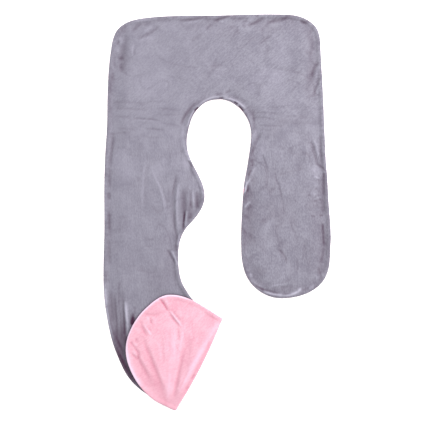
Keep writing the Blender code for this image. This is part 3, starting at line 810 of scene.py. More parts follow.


# Broad areas painted paler or darker through the same mark as the creases' painted shade, with no relief
FRONT_TONES = (
    # head end
    Fold(-280, 410, -130, 410, 0, 90, 0.25),
    Fold(100, 420, 215, 415, 0, 65, 0.38),
    Fold(-40, 420, 60, 400, 0, 40, 0.12),
    Fold(-300, 540, -290, 480, 0, 18, 0.3),
    Fold(290, 560, 296, 400, 0, 18, -0.5),
    Fold(262, 574, 292, 550, 0, 13, -0.8),
    Fold(300, 434, 272, 370, 0, 12, -0.5),
    Fold(95, 574, 250, 584, 0, 22, -0.6),
    Fold(-130, 572, 10, 580, 0, 13, -0.35),
    Fold(150, 556, 220, 552, 0, 15, -0.3),
    Fold(-60, 597, 96, 602, 0, 14, -0.6),
    Fold(-30, 556, 60, 560, 0, 22, -0.25),
    Fold(96, 330, 114, 280, 0, 16, -0.6),
    Fold(180, 281, 250, 276, 0, 11, -0.5),
    Fold(268, 240, 290, 214, 0, 20, -0.35),
    Fold(0, 455, 0, 445, 0, 26, -0.4),
    Fold(286, 470, 284, 350, 0, 14, -0.35),
    Fold(268, 492, 296, 490, 0, 6, -0.8),
    Fold(311, 542, 309, 506, 0, 6, 0.5),
    Fold(325, 312, 327, 252, 0, 5, 0.6),
    Fold(272, 545, 288, 530, 0, 8, -0.5),
    Fold(76, 577, 91, 571, 0, 5, -1.1),
    Fold(56, 603, 82, 604, 0, 4, 0.8),
    Fold(-256, 588, -200, 596, 0, 5, 0.8),
    Fold(-319, 548, -326, 498, 0, 9, 0.5),
    Fold(188, 198, 212, 198, 0, 7, -0.5),
    # legs
    Fold(-305, 215, -270, 90, 0, 42, 0.4),
    Fold(-180, 160, -150, 120, 0, 30, 0.3),
    Fold(-104, 190, -84, 132, 0, 13, 1.0),
    Fold(-62, 116, -44, 62, 0, 15, 0.6),
    Fold(-72, 134, -62, 112, 0, 7, 0.6),
    Fold(-76, 36, -96, -34, 0, 14, -1.2),
    Fold(-130, 20, -112, -20, 0, 22, -0.3),
    Fold(-118, -146, -98, -236, -4, 12, 0.6),
    Fold(-240, -190, -130, -226, 0, 42, -0.45),
    Fold(-344, 120, -346, -40, 0, 5, 0.6),
    Fold(-304, -60, -304, -92, 0, 9, 0.5),
    Fold(-84, 166, -80, 140, 0, 6, 0.5),
    Fold(-150, -60, -150, -205, 0, 32, -0.35),
    Fold(132, 252, 138, 148, 0, 18, 0.5),
    Fold(107, 176, 96, 92, 0, 12, -1.1),
    Fold(86, -45, 84, -130, 0, 5, -1.0),
    Fold(334, -158, 318, -212, -3, 7, -0.7),
    Fold(98, 90, 102, -120, 0, 24, -0.65),
    Fold(140, 30, 205, -36, 0, 34, -0.5),
    Fold(146, -18, 142, -62, 0, 12, -0.6),
    Fold(142, -98, 140, -122, 0, 10, -0.5),
    Fold(300, 60, 316, -190, 0, 24, -0.5),
    Fold(214, 190, 214, -190, 0, 90, -0.08),
    Fold(176, 110, 230, 60, 0, 34, 0.3),
    Fold(308, 150, 310, 100, 0, 12, 0.5),
    Fold(327, 124, 328, 14, 0, 5, -0.3),
    Fold(156, -176, 210, -214, 0, 30, 0.25),
    Fold(112, 106, 116, 84, 0, 8, -0.5),
    Fold(180, -186, 196, -200, 0, 8, -0.5),
    Fold(126, -222, 154, -237, -1, 4, 0.9),
    Fold(340, -4, 342, -44, 0, 5, -0.5),
)
FLAP_TONES = (
    Fold(-238, -330, -228, -412, 0, 20, -0.45),
    Fold(-200, -330, -160, -400, 0, 30, -0.15),
    Fold(-160, -420, -152, -540, 0, 24, -0.25),
    Fold(-44, -318, -8, -352, 0, 20, -0.5),
    Fold(-90, -392, -94, -470, 0, 12, 0.3),
    Fold(-70, -380, -56, -398, 0, 8, 0.5),
    Fold(-184, -540, -150, -596, 0, 26, -0.2),
    Fold(-67, -306, -50, -318, 0, 10, -0.4),
    Fold(-232, -362, -224, -386, 0, 7, -0.4),
)


def relief(laid: np.ndarray, folds: Sequence[Fold]) -> np.ndarray:
    """Height that folds add at laid points.

    A fold's height falls off as the bell curve exp(−(distance / width)²) to its sides and past its ends, and
    as one minus the fourth power of its run from middle to end along it.

    Args:
        laid: points as seen from above, with x and y last.
        folds: the ridges and troughs.

    Returns:
        A height for each point, in metres.
    """
    height = np.zeros(laid.shape[:-1])
    for fold in folds:
        start = np.array([fold.x, fold.y]) * MM
        run = np.array([fold.to_x, fold.to_y]) * MM - start
        length = np.linalg.norm(run)
        along = ((laid - start) @ run) / length**2
        held = np.clip(along, 0.0, 1.0)
        side = (run[0] * (laid[..., 1] - start[1]) - run[1] * (laid[..., 0] - start[0])) / length
        side -= 4 * fold.bow * MM * held * (1 - held)
        past = (along - held) * length
        fade = 1 - (2 * held - 1) ** 4
        height += fold.height * MM * fade * np.exp(-(side**2 + past**2) / (fold.width * MM) ** 2)
    return height


class Wave(NamedTuple):
    """One wave of the cloth's slow swell: its length and height in millimetres, its way and its phase."""

    length: float
    height: float
    way: float
    phase: float


class Crumple(NamedTuple):
    """One layer of noise: its cell in millimetres, its height, its way in degrees, how much longer than wide
    its cells are, and its seed."""

    cell: float
    height: float
    way: float
    stretch: float
    seed: int

    def at(self, laid: np.ndarray) -> np.ndarray:
        """Its value at laid points, from minus its height to its height."""
        return self.height * noise(laid, self.cell, self.way, self.stretch, self.seed)


class Wrinkles(NamedTuple):
    """Thin faint wrinkles all over: how far apart and how deep they are in millimetres, the way that they
    run in degrees, how much longer than far apart they are, half their width as a share of that distance,
    and their seed."""

    apart: float
    depth: float
    way: float
    stretch: float
    thin: float
    seed: int


# The cloth's lumps, with heights in millimetres
CRUMPLES = (Crumple(38, 0.6, 70, 1.5, 3), Crumple(19, 0.35, 60, 1.5, 11), Crumple(9.5, 0.15, 40, 1.4, 29))
# The wrinkles run up to the right at the head end and along the legs
HEAD_WRINKLES = (Wrinkles(34, 0.30, 38, 2.6, 0.07, 5), Wrinkles(52, 0.25, -8, 3.0, 0.04, 8))
LEG_WRINKLES = (Wrinkles(36, 0.364, 96, 2.8, 0.06, 14), Wrinkles(46, 0.26, 12, 2.2, 0.045, 17))
FLAP_WRINKLES = (Wrinkles(30, 0.25, 100, 3.0, 0.07, 21),)
WRINKLED_FROM = -0.35  # wrinkles come up where a wider noise is above this value
WRINKLED_CELL = 1.7  # that noise's cell, beside how far apart the wrinkles are
WRINKLED_SEED = 100  # what is added to their seed for it
LATTICE = 96  # cells each way before a noise repeats, which is further than the cloth is long


def noise(laid: np.ndarray, cell: float, way: float, stretch: float, seed: int) -> np.ndarray:
    """Noise from -1 to 1 with soft spots in a lattice that is turned and stretched.

    Each corner of the lattice has a random value, and the four corners round a point blend by S-curves.

    Args:
        laid: points as seen from above, with x and y last.
        cell: the spots' width in millimetres.
        way: the way that they are stretched, in degrees.
        stretch: how much longer than wide they are.
        seed: the seed of the corners' values.

    Returns:
        A value for each point.
    """
    turn = math.radians(way)
    along = (laid[..., 0] * math.cos(turn) + laid[..., 1] * math.sin(turn)) / (cell * stretch * MM)
    across = (laid[..., 1] * math.cos(turn) - laid[..., 0] * math.sin(turn)) / (cell * MM)
    corners = np.random.default_rng(seed).uniform(-1, 1, (LATTICE, LATTICE))
    i, j = np.floor(along).astype(int), np.floor(across).astype(int)
    u, v = smooth_step(along - i), smooth_step(across - j)
    i, j, next_i, next_j = i % LATTICE, j % LATTICE, (i + 1) % LATTICE, (j + 1) % LATTICE
    low = corners[i, j] * (1 - u) + corners[next_i, j] * u
    high = corners[i, next_j] * (1 - u) + corners[next_i, next_j] * u
    return low * (1 - v) + high * v


def crumpled(laid: np.ndarray, layers: Sequence[Crumple]) -> np.ndarray:
    """Height of the cloth's lumps, which have no direction or repeat: the sum of a few noises."""
    return MM * sum(layer.at(laid) for layer in layers)


def wrinkled(laid: np.ndarray, layers: Sequence[Wrinkles]) -> np.ndarray:
    """Height of thin wrinkles: troughs along the lines where a noise is zero, as exp(−(noise / thin)²), which
    come and go with a second, wider noise.

    Args:
        laid: points as seen from above, with x and y last.
        layers: the wrinkles.

    Returns:
        A height for each point, in metres.
    """
    height = np.zeros(laid.shape[:-1])
    for layer in layers:
        line = noise(laid, layer.apart, layer.way, layer.stretch, layer.seed) / layer.thin
        wider = noise(laid, WRINKLED_CELL * layer.apart, layer.way, 1.0, layer.seed + WRINKLED_SEED)
        here = smooth_step(wider - WRINKLED_FROM)
        height -= layer.depth * MM * here * np.exp(-(line**2))
    return height


# The slow swell of the cloth on the leg and on the flap
LEG_SWELL = (
    Wave(213, 0.5, 20, 0.4),
    Wave(137, 0.45, 74, 2.1),
    Wave(96, 0.35, 131, 4.0),
    Wave(61, 0.2, 48, 1.1),
)
FLAP_SWELL = (Wave(151, 0.4, 62, 1.2), Wave(88, 0.4, -28, 3.3), Wave(57, 0.25, 17, 5.0))


def swell(laid: np.ndarray, waves: Sequence[Wave]) -> np.ndarray:
    """A slow unevenness of the cloth: the sum of its waves, each a sine along its way.

    Args:
        laid: points as seen from above, with x and y last.
        waves: the waves.

    Returns:
        A height for each point, in metres.
    """
    height = np.zeros(laid.shape[:-1])
    for wave in waves:
        way = math.radians(wave.way)
        along = laid[..., 0] * math.cos(way) + laid[..., 1] * math.sin(way)
        height += wave.height * MM * np.sin(2 * math.pi * along / (wave.length * MM) + wave.phase)
    return height


# ---------------------------------------------------------------------------------------------------------
# Finishes
# ---------------------------------------------------------------------------------------------------------


def linear(code: str) -> tuple[float, float, float, float]:
    """An sRGB hex colour, such as #9f9aae, as linear red, green, blue and alpha."""
    parts = [int(code[at : at + 2], 16) / 255 for at in (1, 3, 5)]
    values = [part / 12.92 if part <= 0.04045 else ((part + 0.055) / 1.055) ** 2.4 for part in parts]
    return (*values, 1.0)


def add_node(
    tree: bpy.types.NodeTree, kind: str, inputs: dict[str | int, Any] | None = None, **settings: Any
) -> bpy.types.Node:
    """Adds a node with its settings, values and links.

    Args:
        tree: the node tree.
        kind: the node's type.
        inputs: for each socket name or number, a value, or the output socket to link.
        settings: the node's own properties.

    Returns:
        The node.
    """
    node = tree.nodes.new(kind)
    for name, value in settings.items():
        setattr(node, name, value)
    for name, value in (inputs or {}).items():
        if isinstance(value, bpy.types.NodeSocket):
            tree.links.new(value, node.inputs[name])
        else:
            node.inputs[name].default_value = value
    return node


CUT_UV = "cut"  # the panels' UV map: the flat cut, where UV_SPAN metres make one unit
UV_SPAN = 1.3
UV_CORNER = np.array([-0.36, -0.67])  # a little below and to the left of the cut, where both are 0
PAINTED_SHADING = "painted_shading"  # painted shade and highlight, from -1 in the deepest crease to 1 on the sharpest ridge
SEAM_DEPTH = "seam_depth"  # how far from the seam a point lies, in metres
HEAD_SHARE = "head_share"  # 0 on the legs and 1 at the head end, where the pile is brushed another way
RUFFLED = "ruffled"  # how ruffled the pile is: 1 on the right leg, less where it lies smooth
MARKS = (PAINTED_SHADING, SEAM_DEPTH, HEAD_SHARE, RUFFLED)  # the attributes of the panels' vertices


@dataclass(frozen=True)
class Velour:
    """Short-pile polyester velour, knitted and brushed. The pile leans this way and that, so the eye sees
    soft lighter and darker patches and faint streaks along the brushing, painted here as lit and shaded
    colours of the pile. The sheen gives a pale bloom where the cloth turns away. The creases and the border
    inside the seam get painted shade, and a ridge gets a painted highlight."""

    name: str
    lit: str  # painted lit colour, where the pile leans away from the light
    shaded: str  # painted shaded colour, where the pile leans to the light
    deep: str  # painted shade: in creases, in painted shadows and along the seam
    open: str  # painted highlight: on a ridge and on the flap's rim
    bloom: str  # the sheen's tint
    seam_shade: float  # how much painted shade darkens the pile inside the seam
    sheen: float = 0.25
    sheen_roughness: float = 0.4
    roughness: float = 0.95
    specular: float = 0.15
    patch: float = 62.0  # millimetres across a brushed patch
    tuft: tuple[float, float] = (9.0, 26.0)  # across and along a ruffled tuft
    grain: tuple[float, float] = (3.6, 7.6)
    streak: tuple[float, float] = (5.0, 60.0)  # across and along a brushing streak
    leg_way: float = 4.0  # degrees that the brushing leans from the leg's length
    head_way: float = -48.0
    pile: tuple[float, float] = (1.6, 2.24)  # a tuft of fibres is finer, 0.3 mm: this coarse so that it shows
    finer: float = 0.55  # how strong each finer layer of a noise is beside the last
    nap: tuple[float, ...] = (0.28, 0.16, 0.14, 0.32, 0.10)  # weights of patch, tuft, streak, grain and pile
    nap_range: tuple[float, float] = (0.37, 0.63)  # it is shaded below the first and lit above the second
    raised: tuple[float, ...] = (0.35, 0.45, 0.2)  # weights of pile, grain and tuft in the bump
    bump: float = 0.6
    pile_height: float = 0.5 * MM
    dark_within: float = 30.0 * MM  # the painted seam shade starts this near the seam, and is full within the next distance
    dark_full: float = 5.0 * MM
    dark_range: tuple[float, float] = (0.75, 0.30)  # patches of these values have none of that and all of it

    def material(self) -> bpy.types.Material:
        """Builds the velour's material.

        Returns:
            The material, whose patterns follow the flat cut.
        """
        made = bpy.data.materials.new(self.name)
        made.use_nodes = True
        tree = made.node_tree
        shader = tree.nodes["Principled BSDF"]
        cut = add_node(tree, "ShaderNodeUVMap", uv_map=CUT_UV).outputs["UV"]
        patches = self._noise(tree, cut, (self.patch, self.patch), detail=4.0, warp=0.8)
        tufts = self._brushed(tree, cut, self.tuft, detail=3.0, warp=1.0)
        grain = self._brushed(tree, cut, self.grain, detail=1.0)
        pile = self._noise(tree, cut, self.pile, detail=1.0)
        streaks = self._brushed(tree, cut, self.streak, detail=2.0)
        nap = self._weighed(tree, (patches, tufts, streaks, grain, pile), self.nap)
        ruffled, smooth = self._mark(tree, RUFFLED), sum(self.nap_range) / 2
        leaning = add_node(tree, "ShaderNodeMix", {0: ruffled, 2: smooth, 3: nap}).outputs[0]
        lean = self._eased(tree, leaning, *self.nap_range)
        # the nap's patches, real in the cloth, painted as the pile's lit and shaded colours
        brushed = self._mixed(tree, lean, linear(self.shaded), linear(self.lit))
        # painted shade in creases and painted shadows, and a painted highlight on ridges
        painted_shading = self._mark(tree, PAINTED_SHADING)
        opened = self._mixed(tree, painted_shading, brushed, linear(self.open))
        closed = self._mixed(tree, self._times(tree, painted_shading, -1.0), opened, linear(self.deep))
        # painted shade inside the seam, missing in some patches, in the painted crease shade's colour
        near = self._eased(tree, self._mark(tree, SEAM_DEPTH), self.dark_within, self.dark_full)
        broken = self._eased(tree, patches, *self.dark_range)
        edge = self._times(tree, self._times(tree, near, broken), self.seam_shade)
        colour = self._mixed(tree, edge, closed, linear(self.deep))
        height = self._weighed(tree, (pile, grain, tufts), self.raised)
        bump = add_node(
            tree, "ShaderNodeBump", {"Height": height, "Strength": self.bump, "Distance": self.pile_height}
        )
        tree.links.new(colour, shader.inputs["Base Color"])
        tree.links.new(bump.outputs["Normal"], shader.inputs["Normal"])
        shader.inputs["Roughness"].default_value = self.roughness
        shader.inputs["Specular IOR Level"].default_value = self.specular
        shader.inputs["Sheen Weight"].default_value = self.sheen
        shader.inputs["Sheen Roughness"].default_value = self.sheen_roughness
        shader.inputs["Sheen Tint"].default_value = linear(self.bloom)
        return made

    def _brushed(
        self,
        tree: bpy.types.NodeTree,
        cut: bpy.types.NodeSocket,
        cell: tuple[float, float],
        detail: float,
        warp: float = 0.0,
    ) -> bpy.types.NodeSocket:
        """Noise that is drawn out along the brushing, which runs one way on the legs and another at the head.

        Args:
            tree: the material's node tree.
            cut: the flat cut's coordinates.
            cell: how wide a spot is across and along the brushing, in millimetres.
            detail: how many finer layers it has.
            warp: how much the spots are drawn out of shape.

        Returns:
            The noise, from 0 to 1.
        """
        on_legs = self._noise(tree, cut, cell, detail, self.leg_way, warp)
        at_head = self._noise(tree, cut, cell, detail, self.head_way, warp)
        share = self._mark(tree, HEAD_SHARE)
        return add_node(tree, "ShaderNodeMix", {0: share, 2: on_legs, 3: at_head}).outputs[0]

    def _noise(
        self,
        tree: bpy.types.NodeTree,
        cut: bpy.types.NodeSocket,
        cell: tuple[float, float],
        detail: float,
        turn: float = 0.0,
        warp: float = 0.0,
    ) -> bpy.types.NodeSocket:
        """Noise on the flat cut.

        Args:
            tree: the material's node tree.
            cut: the flat cut's coordinates.
            cell: how wide and long a light or dark spot is, in millimetres.
            detail: how many finer layers it has.
            turn: degrees that the spots are turned counterclockwise.
            warp: how much they are drawn out of shape.

        Returns:
            The noise, from 0 to 1.
        """
        scale = (*(size * MM / UV_SPAN for size in cell), 1)
        laid = {"Vector": cut, "Rotation": (0, 0, math.radians(turn)), "Scale": scale}
        place = add_node(tree, "ShaderNodeMapping", laid, vector_type="TEXTURE").outputs["Vector"]
        spots = {"Vector": place, "Scale": 1.0, "Detail": detail, "Roughness": self.finer, "Distortion": warp}
        return add_node(tree, "ShaderNodeTexNoise", spots, noise_dimensions="2D").outputs["Fac"]

    @staticmethod
    def _mark(tree: bpy.types.NodeTree, name: str) -> bpy.types.NodeSocket:
        """One of the marks of the panels' vertices."""
        return add_node(tree, "ShaderNodeAttribute", attribute_name=name).outputs["Fac"]

    @staticmethod
    def _times(tree: bpy.types.NodeTree, value: bpy.types.NodeSocket, by: Any) -> bpy.types.NodeSocket:
        """A value times another value or a number."""
        return add_node(tree, "ShaderNodeMath", {0: value, 1: by}, operation="MULTIPLY").outputs[0]

    @staticmethod
    def _eased(
        tree: bpy.types.NodeTree, value: bpy.types.NodeSocket, zero: float, one: float
    ) -> bpy.types.NodeSocket:
        """0 where the value is at zero, 1 where it is at one, and an S-curve between."""
        inputs = {"Value": value, "From Min": zero, "From Max": one}
        return add_node(tree, "ShaderNodeMapRange", inputs, interpolation_type="SMOOTHSTEP").outputs["Result"]

    def _weighed(
        self, tree: bpy.types.NodeTree, values: Sequence[bpy.types.NodeSocket], weights: Sequence[float]
    ) -> bpy.types.NodeSocket:
        """The sum of values, each times its weight.

        Args:
            tree: the material's node tree.
            values: the values.
            weights: a weight for each.

        Returns:
            The sum.
        """
        total, *parts = [self._times(tree, value, weight) for value, weight in zip(values, weights)]
        for part in parts:
            total = add_node(tree, "ShaderNodeMath", {0: total, 1: part}).outputs[0]
        return total

    @staticmethod
    def _mixed(
        tree: bpy.types.NodeTree, share: bpy.types.NodeSocket, first: Any, second: Any
    ) -> bpy.types.NodeSocket:
        """The first colour, turning into the second as share goes from 0 to 1."""
        mix = add_node(tree, "ShaderNodeMix", {0: share, 6: first, 7: second}, data_type="RGBA")
        return mix.outputs[2]


GREY_VELOUR = Velour(
    name="grey brushed velour",
    lit="#76747f",
    shaded="#64616d",
    deep="#321b2e",
    open="#9f9cab",
    bloom="#e9e6f0",
    seam_shade=0.14,
)
PINK_VELOUR = Velour(
    name="pink brushed velour",
    lit="#c095a2",
    shaded="#b68695",
    deep="#9c5a6c",
    open="#cdb6ca",
    bloom="#ffeaf4",
    seam_shade=0.0,
)


# ---------------------------------------------------------------------------------------------------------
# The cover
# ---------------------------------------------------------------------------------------------------------


class Sway(NamedTuple):
    """A sine round the seam: its length in metres, its height and its phase in radians."""

    length: float
    height: float
    phase: float = 0.0

    def at(self, along: np.ndarray, shift: np.ndarray | float = 0.0) -> np.ndarray:
        """Its value at distances round the seam, with its phase shifted further."""
        return self.height * np.sin(2 * math.pi * along / self.length + self.phase + shift)


@dataclass
class Cover:
    """The cover's two panels, folded as one, with the back panel's underside on the floor."""

    grid: CutGrid
    crease: Crease
    cloth: float = 2.0 * MM  # velour with its pile
    thinnest: float = 0.6 * MM  # the least that a deep crease leaves between a panel's two faces
    panel_gap: float = 0.3 * MM
    turning: float = 1.2 * MM  # what the turned-in seam allowance adds to a panel
    turning_width: float = 9.0 * MM
    turning_fade: float = 6.0 * MM
    edge_round: float = 4.0 * MM
    leg_loft: float = 6.0 * MM
    pressed_loft: float = 2.6 * MM
    flap_loft: float = 4.0 * MM
    loft_start: float = 12.0 * MM
    loft_width: float = 52.0 * MM
    puckers: Sway = Sway(15.0 * MM, 0.25 * MM)  # the seam's puckers
    pucker_wander: Sway = Sway(0.083, 1.9)  # how their phase wanders
    pucker_mean: float = 0.55  # the share of their height that they have in the mean, and how it sways
    pucker_sway: Sway = Sway(0.29, 0.45)
    pucker_sway_wander: Sway = Sway(0.71, 2.0)
    pucker_start: float = 5.0 * MM  # over which they grow from the seam
    pucker_fade: float = 26.0 * MM
    seam_line: float = 0.4 * MM  # depth of the trough inside the turned-in allowance
    seam_line_mean: float = 0.36  # the share of that depth that it has in the mean, and how it sways
    seam_line_sways: tuple[Sway, ...] = (Sway(0.37, 0.3, 0.8), Sway(0.13, 0.2))
    seam_line_in: float = 13.0 * MM
    seam_line_width: float = 4.0 * MM
    # near these points, as x, y and reach in millimetres, the seam has no such trough
    plain_seams: tuple[tuple[float, float, float], ...] = ((5, 245, 190), (330, 360, 210), (-112, -150, 130))
    plain_fade: float = 60.0 * MM
    fold_height: float = 0.6  # the main folds are softer than in the CAD model, as fine ones sharpen them
    seam_fade: float = 3.0 * MM  # over which creases fade to nothing at the seam
    full_crease: float = 3.8 * MM  # a crease this deep gets the darkest painted shade
    fold_share: float = 0.10  # how much painted shade or highlight a main fold gets, beside a fine crease
    # the same for the wrinkles, and for the lumps
    wrinkle_share: float = 2.3
    lump_share: float = 0.30
    smooth_legs: tuple[float, float] = (0.62, 1.0)  # how ruffled the left leg is, and the right
    legs_part: tuple[float, float] = (-130.0 * MM, 260.0 * MM)  # from one to the other along X
    border_shade: float = 0.16  # how dark the painted shade is along a line inside the right leg's border
    border_shade_in: float = 25.0 * MM
    border_shade_width: float = 9.0 * MM
    border_mean: float = 0.7  # the share of that shade that it has in the mean, and how mottled it is
    border_mottle: Crumple = Crumple(12.0, 0.6, 80.0, 2.0, 53)
    border_edge: float = 0.09  # and how much darker the painted shade is outside that line
    border_edge_in: float = 6.0 * MM
    border_edge_width: float = 6.0 * MM
    border_from: tuple[float, float] = (60.0 * MM, 140.0 * MM)  # it is right of and below here, over the next
    border_grows: tuple[float, float] = (30.0 * MM, 80.0 * MM)
    beside_share: float = 0.76  # how dark the painted shadow in the strip beside the flap is
    beside_at_seam: float = 0.6  # the share of that at the seam, and from how far inside it is full
    beside_full: float = 9.0 * MM
    beside_streaks: Crumple = Crumple(7.0, 0.26, -64.0, 8.0, 41)  # its streaks run along the seam
    beside_pale: float = 0.32  # how much lighter that painted shadow is next to the flap's edge, below the next place along Y
    beside_pale_top: float = -395.0 * MM
    beside_pale_grows: float = 30.0 * MM
    beside_pale_width: float = 13.0 * MM
    contact_shade: float = 0.42  # how dark the painted contact shadow is where the flap's edge lies on the leg
    contact_width: float = 4.5 * MM
    flap_rim_highlight: float = 0.85  # how pale the painted highlight on the flap's edge is where it lies on the leg
    flap_rim_in: float = 1.6 * MM
    flap_rim_width: float = 2.4 * MM
    flap_rim_grows: float = 1.6  # how much wider it is where the edge is lowest, from the next place along Y
    flap_rim_grows_at: float = -390.0 * MM
    flap_rim_grows_over: float = 60.0 * MM
    flap_rim_right: float = -75.0 * MM  # the painted highlight ends here along X and here along Y
    flap_rim_low: float = -545.0 * MM
    flap_rim_fades: float = 30.0 * MM
    rolled: tuple[float, float] = (82.0 * MM, 68.0 * MM)  # where the seam rolls up and pink peeps out
    rolled_by: float = 3.0 * MM
    rolled_length: float = 9.0 * MM
    rolled_width: float = 26.0 * MM
    head_from: float = 200.0 * MM  # along +Y, where the head end's brushing begins
    head_over: float = 140.0 * MM

    def build(self) -> None:
        """Builds both panels and ties them to the frame."""
        lie = self.crease.lie(self.grid.points)
        depth = self.grid.depth
        front_inner = self.panel_gap / 2 + self._loft(lie, Side.FRONT)
        back_inner = self.panel_gap / 2 + self._loft(lie, Side.BACK)
        turned_in = self.turning * (1 - smooth_step((depth - self.turning_width) / self.turning_fade))
        base = self.panel_gap / 2 + self.cloth + turned_in * (1 + lie.out_up) / 2
        near = 1 - np.clip(depth / self.edge_round, 0.0, 1.0)
        rounded = np.sqrt(1 - near**2)
        for side, lofted in ((Side.FRONT, front_inner), (Side.BACK, back_inner)):
            pressed = lofted + (self.cloth + turned_in) * rounded + self._pressed_in(lie, side)
            inner = self._given_way(lofted, pressed)
            outer = np.maximum(pressed, inner + self.thinnest * rounded)
            inner_points = lie.placed(base, inner * side.value)
            outer_points = lie.placed(base, outer * side.value)
            if side is Side.BACK:
                resting = (lie.on_leg == 1) & (depth >= self.edge_round)
                outer_points[resting, 2] = 0.0
            else:
                for points in (inner_points, outer_points):
                    points[..., 0] += self._rolled_in()
            self._add_panel(side, inner_points, outer_points, self._shade_and_highlight(lie, side))

    def _loft(self, lie: Lie, side: Side) -> np.ndarray:
        """How far a panel stands off the other where it is on top: its fullness, swell and main folds.

        The fullness rises on an S-curve from the seam inwards. The front panel is on top on the leg, less
        where the flap presses it, and the back panel on the flap.

        Args:
            lie: how the cut's points lie.
            side: which panel it is.

        Returns:
            A distance for each grid point.
        """
        plan, depth = lie.plan(), self.grid.depth
        full = smooth_step((depth - self.loft_start) / self.loft_width)
        settled = smooth_step((depth - self.edge_round) / self.loft_start)
        if side is Side.FRONT:
            free = 1 - self.crease.covered(plan)
            height = full * (self.pressed_loft + (self.leg_loft - self.pressed_loft) * free)
            uneven = swell(plan, LEG_SWELL) + crumpled(plan, CRUMPLES)
            height += free * (settled * self.fold_height * relief(plan, FRONT_FOLDS) + full * uneven)
            return lie.on_leg * np.maximum(height, 0.0)
        uneven = swell(plan, FLAP_SWELL) + crumpled(plan, CRUMPLES)
        height = full * (self.flap_loft + uneven) + settled * self.fold_height * relief(plan, FLAP_FOLDS)
        return lie.on_flap * np.maximum(height, 0.0)

    def _given_way(self, lofted: np.ndarray, pressed: np.ndarray) -> np.ndarray:
        """A panel's inner face, which gives way where a crease is deeper than the cloth is thick or a fold is
        steep, so that its coarse mesh stays under the outer face, but not past the other panel.

        Args:
            lofted: how far the face stands off the middle before that.
            pressed: how far the outer face does, with its creases.

        Returns:
            How far the inner face stands off, for each grid point.
        """
        under = self.grid.lowest_near(pressed) - self.thinnest
        return np.maximum(np.minimum(lofted, under), self.panel_gap / 2)

    def _seam_line(self) -> np.ndarray:
        """The trough just inside the turned-in allowance: a bell curve across its line, whose depth comes and
        goes round the seam, and which is missing near the plain seams.

        Returns:
            A height for each grid point, 0 or less.
        """
        along = self.grid.seam_along()
        strength = np.maximum(self.seam_line_mean + sum(sway.at(along) for sway in self.seam_line_sways), 0.0)
        for x, y, reach in self.plain_seams:
            distance = np.linalg.norm(self.grid.ring - np.array([x, y]) * MM, axis=1)
            strength *= 1 - smooth_step((reach * MM - distance) / self.plain_fade)
        across = self._bell(self.seam_line_in, self.seam_line_width)
        return -self.seam_line * strength[:, None] * across

    def _puckers(self) -> np.ndarray:
        """Short puckers square to the seam: a sine round the seam whose spacing and height wander, which
        grows from the seam and dies away inside it.

        Returns:
            A height for each grid point.
        """
        along, depth = self.grid.seam_along(), self.grid.depth
        wave = self.puckers.at(along, self.pucker_wander.at(along))
        share = self.pucker_mean + self.pucker_sway.at(along, self.pucker_sway_wander.at(along))
        across = smooth_step(depth / self.pucker_start) * (1 - smooth_step(depth / self.pucker_fade))
        return (wave * share)[:, None] * across

    def _rolled_in(self) -> np.ndarray:
        """How far along X the front panel is drawn in where the seam rolls up, so that a sliver of the pink
        panel shows: a bell curve along the seam that fades inwards.

        Returns:
            A distance for each grid point.
        """
        offset = self.grid.points - np.array(self.rolled)
        along = np.exp(-((offset[..., 1] / self.rolled_length) ** 2))
        beside = np.abs(offset[..., 0]) < self.rolled_width
        return self.rolled_by * along * beside * (1 - smooth_step(self.grid.depth / self.rolled_width))

    def _wrinkles(self, plan: np.ndarray, side: Side) -> np.ndarray:
        """The faint wrinkles of a panel's face, which run another way at the head end than on the legs.

        Args:
            plan: the laid points, seen from above.
            side: which panel it is.

        Returns:
            A height for each point, 0 or less.
        """
        if side is Side.BACK:
            return wrinkled(plan, FLAP_WRINKLES)
        head = self._head_share(plan)
        on_legs = self._ruffled(plan) * wrinkled(plan, LEG_WRINKLES)
        return head * wrinkled(plan, HEAD_WRINKLES) + (1 - head) * on_legs

    def _ruffled(self, points: np.ndarray) -> np.ndarray:
        """How ruffled the cloth is: smoother on the left leg than on the right."""
        (left, right), (start, width) = self.smooth_legs, self.legs_part
        return left + (right - left) * smooth_step((points[..., 0] - start) / width)

    def _head_share(self, points: np.ndarray) -> np.ndarray:
        """0 on the legs and 1 at the head end."""
        return smooth_step((points[..., 1] - self.head_from) / self.head_over)

    def _seam_relief(self) -> np.ndarray:
        """What the seam adds to a panel's face: its puckers and the line inside its allowance."""
        return self._puckers() + self._seam_line()

    def _pressed_in(self, lie: Lie, side: Side) -> np.ndarray:
        """What fine creases, wrinkles and the seam add to a panel's face where it shows: their sum, which
        grows on an S-curve from nothing at the seam.

        Args:
            lie: how the cut's points lie.
            side: which panel it is.

        Returns:
            A height for each grid point.
        """
        plan = lie.plan()
        creases = FRONT_CREASES if side is Side.FRONT else FLAP_CREASES
        shown = lie.on_leg * (1 - self.crease.covered(plan)) if side is Side.FRONT else lie.on_flap
        fine = relief(plan, creases) + self._wrinkles(plan, side) + self._seam_relief()
        return shown * smooth_step(self.grid.depth / self.seam_fade) * fine

